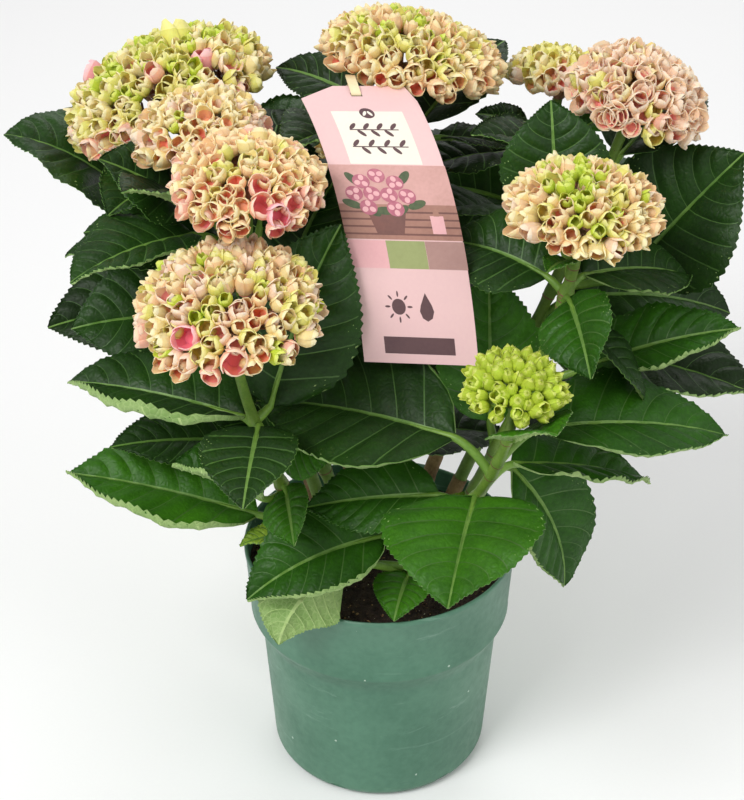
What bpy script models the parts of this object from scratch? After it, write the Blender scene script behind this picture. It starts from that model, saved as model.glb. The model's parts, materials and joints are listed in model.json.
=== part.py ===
"""Potted indoor hydrangea in metres, +Z up, with its origin on the ground under the middle of the pot.

A plastic pot holds a plug of soil. Ten shoots rise from it. Each shoot is a woody cane, a mass of opposite
leaves round a green stem and a domed flower head. A bent label hangs on a paper strap from the back head.
"""

import math
import random
from typing import NamedTuple

import bmesh
import bpy
from mathutils import Matrix, Vector
from mathutils.bvhtree import BVHTree

MM = 0.001
GAP = 0.3 * MM  # clearance between neighbouring nodes

# Pot: a moulded collar over a tapering body
POT_HEIGHT = 130 * MM
RIM_RADIUS = 70 * MM
COLLAR_FOOT_RADIUS = 67.5 * MM
COLLAR_FOOT_HEIGHT = 90 * MM
BODY_TOP_RADIUS = 62 * MM
BODY_TOP_HEIGHT = 81 * MM
BODY_FOOT_RADIUS = 57 * MM
FOOT_ROUNDING = 7 * MM
WALL = 2 * MM
FLOOR = 3 * MM
HEEL_RADIUS = 50 * MM  # inside, where the thick bottom edge begins
HEEL_HEIGHT = 11 * MM
RIM_ROUNDING = 0.8 * MM
NOTCHES = 6
NOTCH_TURN = 307.0
NOTCH_RADIUS = 6 * MM
NOTCH_DEPTH = 3 * MM
SOIL_HEIGHT = 118 * MM
ROUND_STEPS = 32

# Stems
CANE_RADIUS = (5.4 * MM, 4.0 * MM, 3.7 * MM)  # flare at the soil, above it, at the cane's top
CANE_FLARE = 6 * MM  # height of the flare
CANE_STEPS = 3
STEM_RADIUS = (3.6 * MM, 2.3 * MM)  # leafy stem at its foot and under the head
STEM_END = 0.93  # share of the shoot where the leafy stem ends and the flower stalk begins
STEM_POINTS = 7
PETIOLE_RADIUS = (2.0 * MM, 1.5 * MM)
PETIOLE_REACH = 0.13  # share of the blade that the petiole runs into

# Blades
BLADE_STATIONS = (0.0, 0.14, 0.40, 0.72, 1.0)
BLADE_THICKNESS = 0.0125  # share of the blade's length
BLADE_TIP_WIDTH = 1.2 * MM
OUTLINE_SKEW = 0.80  # under 1 puts the widest place nearer the petiole
OUTLINE_FULLNESS = 0.78
OUTLINE_POINT = 0.30  # how much the sides draw in towards the tip
LEAF_CLEARANCE = 0.7 * MM

# Flower heads
CORE_SHARE = 0.84  # core's radius as a share of the head's
HEAD_DROP = 0.22  # the shoot's curve ends this share of the head's width below its centre
STALK_SINK = 0.20  # and the flower stalk runs on by this share
UNDERSIDE_SHARE = 0.30  # depth of the underside over half the width
FLORET_SPREAD = 0.84  # width of a floret over the distance between neighbours
FLORET_HEIGHT = 14 * MM
FLORET_HOLLOW = 4 * MM
FLORET_ROOT = 4.2 * MM
LOWEST_FLORET = -0.08  # cosine of the angle from the head's axis
SIDE_STALK_START = 0.97  # share of the shoot where the stalk leaves it that holds the label's strap
SIDE_STALK_RADIUS = 1.3 * MM
SIDE_STALK_RISE = 14 * MM
HOOK_SHARE = 0.78  # share of the strap's length where that stalk passes through its loop
HOOK_HALF = 5 * MM

# Label
LABEL_WIDTH = 52 * MM
LABEL_THICKNESS = 1.0 * MM
LABEL_CUTS = ((-1, 17.5 * MM, 9.8 * MM), (1, 2.2 * MM, 11.5 * MM))  # side, width and drop of each cut corner
LABEL_TOP = Vector((-13.5, 20, 372.5)) * MM
LABEL_MIDDLE = Vector((6.5, -22, 337)) * MM
LABEL_FOOT = Vector((18.5, -52, 268.5)) * MM
LABEL_ROLL = (0.0, -2.5)  # of its width out of the level, at the top and at the foot
LABEL_ROWS = 8
LABEL_HOLE = Vector((6.4, 6.4)) * MM  # width and height of the slot
LABEL_HOLE_DROP = 8 * MM
STRAP_WIDTH = 4.5 * MM
STRAP_THICKNESS = 0.8 * MM
STRAP_TOP = Vector((-13, 55, 359)) * MM
STRAP_BULGE = 2.9 * MM  # half the width of the loop
STRAP_SEAT = 1.2 * MM  # the strap's low end over the middle of the slot
STRAP_REACH = 12 * MM  # how far it follows the label's slope
STRAP_STEPS = 20

# Leaves that fill the crown's back and middle grow by rule from these places
FILL_AT = (0.86, 0.30, 0.68, 0.45, 0.77, 0.20, 0.57)
FILL_LENGTH = (66, 104, 92, 104, 80, 84, 98)
FILL_RISE = (30, 12, 20, 10, 24, 14, 14)
FILL_FRONT = -42 * MM  # no filling leaf reaches further forward
FILL_FRONT_FLOOR = 165 * MM  # lowest filling leaf before the middle
FILL_SEED = 11
MOST_LEAVES = 70
CROWN_RADIUS = 193 * MM  # of the leaves that fill the crown
PLAN_RADIUS = 200 * MM  # of the leaves placed one by one
CROWN_FLOOR = 100 * MM

# Greatest angle between faces that shade as one surface, in degrees
SMOOTH_TURNED = 30
SMOOTH_STEM = 60
SMOOTH_LEAF = 35

# Small changes a leaf may make to find room: turn, rise, share of its length
SIDESTEPS = ((0, 0, 1.0), (6, 0, 1.0), (-6, 0, 1.0), (0, 8, 1.0), (0, -8, 1.0), (10, 6, 1.0), (-10, 6, 1.0),
             (10, -6, 0.95), (-10, -6, 0.95), (0, 14, 0.95), (0, -14, 0.95), (16, 0, 0.9), (-16, 0, 0.9),
             (12, 14, 0.9), (-12, 14, 0.9), (12, -14, 0.85), (-12, -14, 0.85), (0, 22, 0.85), (0, -22, 0.8),
             (24, 8, 0.8), (-24, 8, 0.8), (24, -10, 0.75), (-24, -10, 0.75))


class Shoot(NamedTuple):
    """One stem from the soil to its flower head, in mm and degrees."""

    foot: tuple  # compass turn and distance from the pot's axis
    head: tuple  # centre of the flower head
    width: float  # of the head
    dome: float  # height of the head's dome over half its width
    lean: tuple  # of the head from upright, and the compass turn it leans to
    cane: float = 0.16  # share of the shoot that is bare cane
    florets: int = 24


class Leaf(NamedTuple):
    """One leaf: the share of its shoot it grows from, its compass turn and rise, and its length in mm."""

    at: float
    turn: float
    rise: float
    length: float
    roll: float = 0  # of the blade about its midrib
    ratio: float = 0.8  # width over length
    droop: float = 25  # how far the blade bends down from base to tip
    stalk: float = 24
    lift: float = 40  # rise of the petiole
    fold: float = 12  # rise of each half of the blade from the midrib
    veer: float = 0  # turn of the blade away from its petiole


SHOOTS = {
    "back_left": Shoot((150, 30), (-103, 82, 338), 108, 0.60, (22, 160), florets=36),
    "mid_left": Shoot((185, 20), (-83, 15, 350), 64, 0.62, (8, 200), florets=18),
    "centre": Shoot((230, 12), (-58, -40, 352), 70, 0.45, (10, 290), florets=18),
    "front_left": Shoot((215, 34), (-65, -85, 315), 84, 0.50, (14, 260), cane=0.07, florets=26),
    "back": Shoot((80, 24), (15, 60, 369), 90, 0.45, (12, 20), florets=26),
    "back_right": Shoot((30, 32), (118, 35, 356), 68, 0.85, (18, 10), florets=22),
    "far_right": Shoot((62, 40), (90, 98, 341), 56, 0.60, (15, 60), florets=16),
    "right": Shoot((340, 30), (88, -45, 343), 70, 0.50, (8, 290), florets=20),
    "front": Shoot((290, 30), (58, -98, 283), 48, 0.75, (6, 300), cane=0.07, florets=14),
    "rear_left": Shoot((110, 42), (-27, 140, 267), 76, 0.55, (20, 110), florets=22),
}

LEAVES = {
    "front": (
        Leaf(0.72, 165, -2, 102, roll=-20, ratio=0.74, droop=15),
        Leaf(0.78, 16, -2, 96, roll=8, ratio=0.62, droop=20),
        Leaf(0.24, 199, 3, 74, roll=-30, ratio=0.71, droop=36, stalk=28),
        Leaf(0.60, 268, 10, 74, roll=8, ratio=1.05, droop=22, stalk=6),
        Leaf(0.59, 24, -13, 83, roll=3, ratio=0.50, droop=18),
        Leaf(0.51, 170, -7, 66, roll=-30, ratio=0.60, droop=12, stalk=15),
        Leaf(0.88, 300, 45, 38, ratio=1.10, droop=20, stalk=7),
        Leaf(0.09, 217, 5, 53, roll=121, ratio=0.88, droop=82, stalk=48, lift=34),
        Leaf(0.12, 255, 10, 32, ratio=0.90, droop=40, stalk=8),
        Leaf(0.12, 330, 10, 26, ratio=0.90, droop=40, stalk=8),
    ),
    "front_left": (
        Leaf(0.60, 164, 11, 88, roll=-4, ratio=0.74, droop=15, stalk=18, lift=60),
        Leaf(0.70, 38, 72, 93, roll=53, ratio=0.64, droop=17, stalk=10, lift=26),
        Leaf(0.41, 237, 26, 46, ratio=1.14, droop=5, stalk=20, lift=26, fold=24, veer=-60),
        Leaf(0.25, 174, 16, 96, roll=-12, ratio=0.68, droop=8, stalk=24, lift=20),
        Leaf(0.56, 345, 12, 30, roll=65, ratio=0.95, droop=10, stalk=6, lift=60),
    ),
    "right": (
        Leaf(0.40, 115, 87, 83, roll=-20, ratio=0.62, droop=4, stalk=14, lift=64),
        Leaf(0.84, 160, 15, 52, roll=-25, ratio=0.95, droop=30, stalk=12),
        Leaf(0.85, 29, -3, 64, roll=11, ratio=0.85, droop=22, stalk=11),
        Leaf(0.56, 354, 27, 74, roll=21, ratio=0.54, droop=20, stalk=33, lift=30),
        Leaf(0.74, 330, -30, 52, roll=-20, droop=40, stalk=12),
        Leaf(0.28, 348, -43, 77, roll=31, ratio=0.70, droop=47),
        Leaf(0.82, 278, -3, 47, roll=38, ratio=0.80, stalk=12),
        Leaf(0.90, 101, 78, 54, roll=-9, ratio=0.94, droop=12, stalk=33, lift=25),
    ),
    "mid_left": (
        Leaf(0.83, 194, 46, 52, roll=-27, ratio=0.94, droop=20, stalk=17),
        Leaf(0.67, 164, 18, 72, roll=-10, ratio=0.78, droop=27, stalk=22, lift=60),
        Leaf(0.55, 198, 23, 78, roll=-32, ratio=0.85, droop=30),
        Leaf(0.31, 197, 16, 66, roll=-15, ratio=0.60, droop=12, stalk=31, lift=17),
    ),
    "back_left": (
        Leaf(0.78, 178, 33, 82, ratio=0.96, droop=12, stalk=31, lift=14),
        Leaf(0.51, 198, 20, 91, roll=-32, ratio=0.77),
    ),
    "back_right": (
        Leaf(0.62, 355, 56, 82, roll=50, ratio=0.92, droop=4, stalk=40, lift=20),
        Leaf(0.54, 8, 5, 85, roll=26, ratio=0.73, droop=30),
    ),
    "back": (
        Leaf(0.90, 150, 15, 56, roll=-20, ratio=0.60, droop=20),
        Leaf(0.83, 16, -5, 44, roll=3, ratio=0.49, stalk=28, lift=33),
        Leaf(0.91, 300, -10, 30, ratio=0.60, droop=50, stalk=8),
    ),
    "far_right": (
        Leaf(0.88, 150, 20, 30, roll=-20, ratio=0.60, droop=30, stalk=15),
        Leaf(0.72, 165, 15, 60, roll=-40, ratio=0.90, droop=30, stalk=14),
    ),
    "centre": (
        Leaf(0.72, 55, 55, 60, roll=10, droop=30),
        Leaf(0.55, 20, -5, 75, roll=30),
    ),
    "rear_left": (
        Leaf(0.80, 75, 10, 70, droop=30, stalk=16),
        Leaf(0.80, 215, 15, 66, droop=30, stalk=16),
    ),
}


def heading(turn, rise):
    """A unit direction from a compass turn and a rise in degrees."""
    a, b = math.radians(turn), math.radians(rise)
    return Vector((math.cos(a) * math.cos(b), math.sin(a) * math.cos(b), math.sin(b)))


def head_axis(shoot):
    lean, turn = shoot.lean
    return heading(turn, 90 - lean)


def shoot_point(shoot, share):
    """A point on the shoot's curve, from its foot on the soil (0) to the underside of its head (1)."""
    turn, reach = shoot.foot
    foot = heading(turn, 0) * reach * MM + Vector((0, 0, SOIL_HEIGHT))
    axis = head_axis(shoot)
    top = Vector(shoot.head) * MM - axis * HEAD_DROP * shoot.width * MM
    climb = top.z - foot.z
    lower = foot.lerp(Vector((top.x, top.y, foot.z)), 0.30) + Vector((0, 0, 0.30 * climb))
    upper = top - axis * 0.30 * climb
    rest = 1 - share
    return rest**3 * foot + 3 * rest**2 * share * lower + 3 * rest * share**2 * upper + share**3 * top


def outline(along):
    """Half-width of a blade at a share of its length, 1 at the widest."""
    swell = max(math.sin(math.pi * along**OUTLINE_SKEW), 0.0) ** OUTLINE_FULLNESS
    return swell * (1 - OUTLINE_POINT * along**6)


def blade_point(shoot, leaf, along, across):
    """A point on the blade and its normal: along runs from base to tip, across from edge (-1) to edge (1)."""
    base = shoot_point(shoot, leaf.at) + heading(leaf.turn, leaf.lift) * leaf.stalk * MM
    ahead = heading(leaf.turn + leaf.veer, 0)
    rise, bend = math.radians(leaf.rise), math.radians(leaf.droop)
    slope = rise - bend * along
    out = (math.sin(rise) - math.sin(slope)) / bend * leaf.length * MM
    up = (math.cos(slope) - math.cos(rise)) / bend * leaf.length * MM
    normal = Vector((0, 0, math.cos(slope))) - ahead * math.sin(slope)
    side = Vector((-ahead.y, ahead.x, 0))
    roll = math.radians(leaf.roll)
    rolled = Matrix.Rotation(-roll, 3, normal.cross(side))
    side, normal = rolled @ side, rolled @ normal
    half = max(leaf.length * leaf.ratio * MM / 2 * outline(along), BLADE_TIP_WIDTH)
    fold = math.radians(leaf.fold) * abs(across)
    offset = side * across * half * math.cos(fold) + normal * abs(across) * half * math.sin(fold)
    return base + ahead * out + Vector((0, 0, up)) + offset, normal


def blade_shape(shoot, leaf):
    """A thin closed blade as a bmesh: a grid folded on the midrib, with the leaf's thickness."""
    bm = bmesh.new()
    thickness = BLADE_THICKNESS * leaf.length * MM
    layers = []
    for sign in (0.5, -0.5):
        rows = []
        for along in BLADE_STATIONS:
            row = []
            for across in (-1, 0, 1):
                point, normal = blade_point(shoot, leaf, along, across)
                row.append(bm.verts.new(point + normal * sign * thickness))
            rows.append(row)
        layers.append(rows)
    bridge_sheets(bm, *layers)
    return bm


def bridge_sheets(bm, top, bottom):
    """Faces over two matching grids of vertices and a rim that joins them."""
    for row, next_row, under, next_under in zip(top, top[1:], bottom, bottom[1:]):
        for i in range(len(row) - 1):
            bm.faces.new((row[i], row[i + 1], next_row[i + 1], next_row[i]))
            bm.faces.new((under[i], next_under[i], next_under[i + 1], under[i + 1]))
        bm.faces.new((row[0], next_row[0], next_under[0], under[0]))
        bm.faces.new((row[-1], under[-1], next_under[-1], next_row[-1]))
    for i in range(len(top[0]) - 1):
        bm.faces.new((top[0][i], bottom[0][i], bottom[0][i + 1], top[0][i + 1]))
        bm.faces.new((top[-1][i], top[-1][i + 1], bottom[-1][i + 1], bottom[-1][i]))
    bmesh.ops.recalc_face_normals(bm, faces=bm.faces)


def rod_shape(start, end, radii, sides):
    """A straight tapering rod between two points as a bmesh."""
    bm = bmesh.new()
    way = end - start
    place = Matrix.Translation((start + end) / 2) @ way.to_track_quat("Z", "Y").to_matrix().to_4x4()
    bmesh.ops.create_cone(bm, cap_ends=True, segments=sides, radius1=radii[0], radius2=radii[1],
                          depth=way.length, matrix=place)
    return bm


def petiole_shape(shoot, leaf):
    root = shoot_point(shoot, leaf.at)
    end, _ = blade_point(shoot, leaf, PETIOLE_REACH, 0)
    return rod_shape(root, end, PETIOLE_RADIUS, sides=3)


def object_of(name, bm, collection):
    """Turns a bmesh into an object in a collection."""
    mesh = bpy.data.meshes.new(name)
    bm.to_mesh(mesh)
    bm.free()
    obj = bpy.data.objects.new(name, mesh)
    collection.objects.link(obj)
    return obj


def limb(name, points, radii, collection, resolution=1):
    """A tapering limb: a bevelled curve made a closed mesh."""
    curve = bpy.data.curves.new(name, "CURVE")
    curve.dimensions = "3D"
    curve.bevel_depth = 1.0
    curve.bevel_resolution = resolution
    curve.use_fill_caps = True
    spline = curve.splines.new("POLY")
    spline.points.add(len(points) - 1)
    for knot, point, radius in zip(spline.points, points, radii):
        knot.co = (*point, 1)
        knot.radius = radius
    guide = bpy.data.objects.new(name + "_guide", curve)
    collection.objects.link(guide)
    graph = bpy.context.evaluated_depsgraph_get()
    mesh = bpy.data.meshes.new_from_object(guide.evaluated_get(graph))
    bpy.data.objects.remove(guide)
    bm = bmesh.new()
    bm.from_mesh(mesh)
    bmesh.ops.remove_doubles(bm, verts=bm.verts, dist=0.00001)
    bmesh.ops.recalc_face_normals(bm, faces=bm.faces)
    bpy.data.meshes.remove(mesh)
    return object_of(name, bm, collection)


def shoot_limb(name, shoot, start, end, radii, collection):
    """The stretch of a shoot between two shares of its length, square to the shoot at both ends."""
    shares = [start + (end - start) * i / (STEM_POINTS - 1) for i in range(STEM_POINTS)]
    points = [shoot_point(shoot, share) for share in shares]
    steps = [i / (STEM_POINTS - 1) for i in range(STEM_POINTS)]
    return limb(name, points, [radii[0] + (radii[1] - radii[0]) * s for s in steps], collection)


def share_after(shoot, share, distance):
    """The share of the shoot that lies a short distance beyond another."""
    step = 0.002
    speed = (shoot_point(shoot, share + step) - shoot_point(shoot, share)).length / step
    return share + distance / speed


def fuse(obj, helpers):
    """Joins an object with all of a collection's objects by one Boolean union, then removes them.

    The MANIFOLD solver gives the same bodies as EXACT here in a fifth of the time.
    """
    union = obj.modifiers.new("fused", "BOOLEAN")
    union.operation = "UNION"
    union.operand_type = "COLLECTION"
    union.collection = helpers
    union.solver = "MANIFOLD"
    graph = bpy.context.evaluated_depsgraph_get()
    mesh = bpy.data.meshes.new_from_object(obj.evaluated_get(graph))
    obj.modifiers.clear()
    obj.data = mesh
    mesh.name = obj.name
    for helper in list(helpers.objects):
        bpy.data.objects.remove(helper)
    bpy.data.collections.remove(helpers)


def helper_collection(name):
    helpers = bpy.data.collections.new(name)
    bpy.context.scene.collection.children.link(helpers)
    return helpers


def finish(obj, material, smooth=None):
    """Gives an object its material, and smooth shading up to an angle where it is round."""
    obj.data.materials.clear()
    obj.data.materials.append(material)
    if smooth is not None:
        obj.data.shade_smooth()
        obj.data.set_sharp_from_angle(angle=math.radians(smooth))


def material(name, colour, roughness):
    made = bpy.data.materials.new(name)
    made.use_nodes = True
    shader = made.node_tree.nodes["Principled BSDF"]
    shader.inputs["Base Color"].default_value = (*colour, 1)
    shader.inputs["Roughness"].default_value = roughness
    shader.inputs["Metallic"].default_value = 0
    return made


class Crown:
    """What has been placed so far, which new leaves keep clear of."""

    def __init__(self):
        self.placed = []  # (owner, tree)

    def add(self, owner, bm):
        self.placed.append((owner, BVHTree.FromBMesh(bm)))

    def add_object(self, owner, obj):
        bm = bmesh.new()
        bm.from_mesh(obj.data)
        bm.transform(obj.matrix_world)
        self.add(owner, bm)
        bm.free()

    def is_clear(self, bm, ignored=None):
        tree = BVHTree.FromBMesh(bm, epsilon=LEAF_CLEARANCE)
        return not any(owner != ignored and tree.overlap(other) for owner, other in self.placed)

    def holds(self, bm, filling):
        """Whether a blade stays within the crown, and a filling leaf behind its front."""
        for vert in bm.verts:
            point = vert.co
            if math.hypot(point.x, point.y) > (CROWN_RADIUS if filling else PLAN_RADIUS) or point.z < CROWN_FLOOR:
                return False
            floor = FILL_FRONT_FLOOR if point.y < 0 else SOIL_HEIGHT + 6 * MM
            if filling and (point.y < FILL_FRONT or point.z < floor):
                return False
        return True

    def place(self, name, wanted, filling=False):
        """Finds room for a leaf by small changes. Returns the leaf as placed, or None."""
        shoot = SHOOTS[name]
        for turn, rise, share in SIDESTEPS:
            leaf = wanted._replace(turn=wanted.turn + turn, rise=wanted.rise + rise,
                                   length=wanted.length * share)
            blade = blade_shape(shoot, leaf)
            petiole = petiole_shape(shoot, leaf)
            fits = self.holds(blade, filling) and self.is_clear(blade)
            fits = fits and self.is_clear(petiole, "stem_" + name)
            if fits:
                self.add("leaf_" + name, blade)
                self.add("stem_" + name, petiole)
            blade.free()
            petiole.free()
            if fits:
                return leaf
        return None


def turned(name, profile, collection):
    """A turned solid from (radius, height) points, run from the axis out and down to the axis again."""
    bm = bmesh.new()
    verts = [bm.verts.new((radius, 0, height)) for radius, height in profile]
    for a, b in zip(verts, verts[1:]):
        bm.edges.new((a, b))
    obj = object_of(name, bm, collection)
    screw = obj.modifiers.new("turned", "SCREW")
    screw.steps = ROUND_STEPS
    screw.render_steps = ROUND_STEPS
    screw.use_merge_vertices = True
    screw.merge_threshold = 0.00001
    return obj


def inner_profile(clearance):
    """The pot's inside from the floor's middle to the rim, drawn in by a clearance."""
    inside = WALL + clearance
    return [
        (0, FLOOR + clearance),
        (HEEL_RADIUS - clearance, FLOOR + clearance),
        (BODY_FOOT_RADIUS - inside, HEEL_HEIGHT + clearance),
        (BODY_TOP_RADIUS - inside, BODY_TOP_HEIGHT),
        (COLLAR_FOOT_RADIUS - inside, COLLAR_FOOT_HEIGHT),
    ]


def build_pot(collection, cutters):
    outer = [
        (RIM_RADIUS - WALL + RIM_ROUNDING, POT_HEIGHT),
        (RIM_RADIUS - RIM_ROUNDING, POT_HEIGHT),
        (RIM_RADIUS, POT_HEIGHT - RIM_ROUNDING),
        (COLLAR_FOOT_RADIUS, COLLAR_FOOT_HEIGHT),
        (BODY_TOP_RADIUS, BODY_TOP_HEIGHT),
    ]
    for step in range(5):
        angle = math.radians(90 * step / 4)
        outer.append((BODY_FOOT_RADIUS - FOOT_ROUNDING * (1 - math.cos(angle)),
                      FOOT_ROUNDING * (1 - math.sin(angle))))
    inner = inner_profile(0) + [(RIM_RADIUS - WALL, POT_HEIGHT - RIM_ROUNDING)]
    pot = turned("pot", inner + outer + [(0, 0)], collection)
    for index in range(NOTCHES):
        turn = NOTCH_TURN + 360 / NOTCHES * index
        away = heading(turn, 0)
        bm = rod_shape(away * (BODY_FOOT_RADIUS - NOTCH_DEPTH), away * (BODY_FOOT_RADIUS + NOTCH_DEPTH),
                       (NOTCH_RADIUS, NOTCH_RADIUS), sides=12)
        cutter = object_of(f"notch_cutter_{index}", bm, cutters)
        cutter.hide_render = True
        cutter.display_type = "WIRE"
        cut = pot.modifiers.new(f"notch_{index}", "BOOLEAN")
        cut.operation = "DIFFERENCE"
        cut.object = cutter
    return pot


def build_soil(collection):
    slope = (RIM_RADIUS - COLLAR_FOOT_RADIUS) / (POT_HEIGHT - COLLAR_FOOT_HEIGHT)
    reach = COLLAR_FOOT_RADIUS + slope * (SOIL_HEIGHT - COLLAR_FOOT_HEIGHT) - WALL - 2 * GAP
    profile = inner_profile(GAP) + [(reach, SOIL_HEIGHT), (0, SOIL_HEIGHT)]
    return turned("potting_soil", profile[::-1], collection)


def label_middle(share):
    """The label's middle line, a curve from its top edge to its foot."""
    rest = 1 - share
    bend = 2 * LABEL_MIDDLE - (LABEL_TOP + LABEL_FOOT) / 2
    return rest**2 * LABEL_TOP + 2 * rest * share * bend + share**2 * LABEL_FOOT


def label_frame(share):
    """Across and facing directions of the label at a share of its length."""
    roll = math.radians(LABEL_ROLL[0] + (LABEL_ROLL[1] - LABEL_ROLL[0]) * share)
    down = (label_middle(share + 0.01) - label_middle(share - 0.01)).normalized()
    across = Vector((math.cos(roll), 0, math.sin(roll)))
    return across, across.cross(down).normalized()


def build_label(collection, cutters):
    """A bent card with its top corners cut off and a slot for the strap."""
    bm = bmesh.new()
    half = LABEL_WIDTH / 2
    (_, left, _), (_, right, _) = LABEL_CUTS
    columns = (-half, left - half, 0, half - right, half)
    drops = {side * half: drop for side, _, drop in LABEL_CUTS}
    length = label_length()
    layers = []
    for sign in (0.5, -0.5):
        rows = []
        for index in range(LABEL_ROWS + 1):
            row = []
            for x in columns:
                share = index / LABEL_ROWS if index else drops.get(x, 0) / length
                across, facing = label_frame(share)
                row.append(bm.verts.new(label_middle(share) + across * x + facing * sign * LABEL_THICKNESS))
            rows.append(row)
        layers.append(rows)
    bridge_sheets(bm, *layers)
    label = object_of("label_card", bm, collection)
    share = LABEL_HOLE_DROP / length
    across, facing = label_frame(share)
    slot = bmesh.new()
    bmesh.ops.create_cube(slot, size=1.0)
    turn = Matrix((across, facing.cross(across), facing)).transposed().to_4x4()
    size = Matrix.Diagonal((LABEL_HOLE.x, LABEL_HOLE.y, LABEL_THICKNESS * 8, 1))
    slot.transform(Matrix.Translation(label_middle(share)) @ turn @ size)
    cutter = object_of("slot_cutter", slot, cutters)
    cutter.hide_render = True
    cutter.display_type = "WIRE"
    cut = label.modifiers.new("slot", "BOOLEAN")
    cut.operation = "DIFFERENCE"
    cut.object = cutter
    return label


def label_length():
    return (LABEL_TOP - LABEL_MIDDLE).length + (LABEL_MIDDLE - LABEL_FOOT).length


def strap_frame(share):
    """A point of the loop's middle line, from the slot to the stalk, and the ways it is wide and opens."""
    slot = (LABEL_HOLE_DROP - STRAP_SEAT) / label_length()
    low = label_middle(slot)
    bend = low + (low - label_middle(slot + 0.01)).normalized() * STRAP_REACH
    rest = 1 - share
    point = rest**2 * low + 2 * rest * share * bend + share**2 * STRAP_TOP
    along = rest * (bend - low) + share * (STRAP_TOP - bend)
    across = label_frame(slot)[0]
    return point, across, across.cross(along).normalized()


def strap_point(angle):
    """A point of the strap's own middle, round its loop."""
    point, across, out = strap_frame((1 - math.cos(angle)) / 2)
    return point + out * STRAP_BULGE * math.sin(angle), across


def build_strap(collection):
    """A paper loop through the label's slot and round a flower stalk."""
    bm = bmesh.new()
    rings = []
    for index in range(STRAP_STEPS):
        angle = 2 * math.pi * index / STRAP_STEPS
        point, across = strap_point(angle)
        along = strap_point(angle + 0.01)[0] - strap_point(angle - 0.01)[0]
        away = across.cross(along).normalized()
        ring = []
        for width, depth in ((-0.5, -0.5), (0.5, -0.5), (0.5, 0.5), (-0.5, 0.5)):
            ring.append(bm.verts.new(point + across * width * STRAP_WIDTH + away * depth * STRAP_THICKNESS))
        rings.append(ring)
    for ring, other in zip(rings, rings[1:] + rings[:1]):
        for i in range(4):
            bm.faces.new((ring[i], ring[(i + 1) % 4], other[(i + 1) % 4], other[i]))
    bmesh.ops.recalc_face_normals(bm, faces=bm.faces)
    return object_of("label_strap", bm, collection)


def head_frame(shoot):
    """Centre of a flower head and its two side directions and axis."""
    axis = head_axis(shoot)
    side = axis.cross(Vector((0.3, 1.0, 0.1))).normalized()
    return Vector(shoot.head) * MM, side, axis.cross(side), axis


def dome_point(shoot, cosine, angle, share=1.0):
    """A point of the head's surface, by the angles from its axis and round it, or nearer its centre."""
    centre, side, other, axis = head_frame(shoot)
    radius = shoot.width * MM / 2 * share
    sine = math.sqrt(1 - cosine * cosine)
    height = shoot.dome if cosine > 0 else UNDERSIDE_SHARE
    round_axis = side * math.cos(angle) + other * math.sin(angle)
    return centre + (round_axis * sine + axis * cosine * height) * radius


def core_shape(shoot, share):
    """The closed core of a flower head: a low dome over a shallower underside."""
    centre, side, other, axis = head_frame(shoot)
    radius = shoot.width * MM / 2 * share
    bm = bmesh.new()
    bmesh.ops.create_icosphere(bm, subdivisions=2, radius=1.0)
    for vert in bm.verts:
        x, y, z = vert.co
        height = z * (shoot.dome if z > 0 else UNDERSIDE_SHARE)
        vert.co = centre + (side * x + other * y + axis * height) * radius
    bmesh.ops.recalc_face_normals(bm, faces=bm.faces)
    return bm


def floret_pitch(shoot):
    """The distance between neighbouring florets that cover the head's dome evenly."""
    radius = shoot.width * MM / 2
    area = math.pi * radius**2 * (1 + shoot.dome**2 - LOWEST_FLORET)
    return math.sqrt(area / shoot.florets)


def floret_shape(shoot, cosine, angle):
    """A four-sepal cup whose root sinks into the core."""
    point = dome_point(shoot, cosine, angle)
    root = dome_point(shoot, cosine, angle, 1 - 2 * FLORET_HEIGHT / (shoot.width * MM))
    out = (point - root).normalized()
    reach = floret_pitch(shoot) * FLORET_SPREAD / math.sqrt(2)
    bm = rod_shape(root, point, (FLORET_ROOT / 2, reach), sides=4)
    mouth = max(bm.faces, key=lambda face: face.calc_center_median().dot(out))
    made = bmesh.ops.poke(bm, faces=[mouth])
    made["verts"][0].co -= out * FLORET_HOLLOW
    return bm


def build_head(name, crown, collection):
    """The flower head of a shoot: stalk, core and florets, fused."""
    shoot = SHOOTS[name]
    start = share_after(shoot, STEM_END, GAP)
    end = share_after(shoot, 1, STALK_SINK * shoot.width * MM)
    radii = (STEM_RADIUS[1], STEM_RADIUS[1] * 1.3)
    head = shoot_limb("flower_head_" + name, shoot, start, end, radii, collection)
    helpers = helper_collection("florets_" + name)
    object_of("core", core_shape(shoot, CORE_SHARE), helpers)
    if name == "back":
        hook, across, _ = strap_frame(HOOK_SHARE)
        points = [shoot_point(shoot, SIDE_STALK_START), hook + across * HOOK_HALF, hook - across * HOOK_HALF]
        points.append(points[-1] + Vector((0, 0, SIDE_STALK_RISE)))
        limb("side_stalk", points, [SIDE_STALK_RADIUS] * len(points), helpers)
    golden = math.pi * (3 - math.sqrt(5))
    for index in range(shoot.florets):
        cosine = 1 - (1 - LOWEST_FLORET) * (index + 0.5) / shoot.florets
        bm = floret_shape(shoot, cosine, golden * index)
        if crown.is_clear(bm, "head_" + name):
            object_of(f"floret_{index}", bm, helpers)
        else:
            bm.free()
    fuse(head, helpers)
    crown.add_object("head_" + name, head)
    return head


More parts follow.
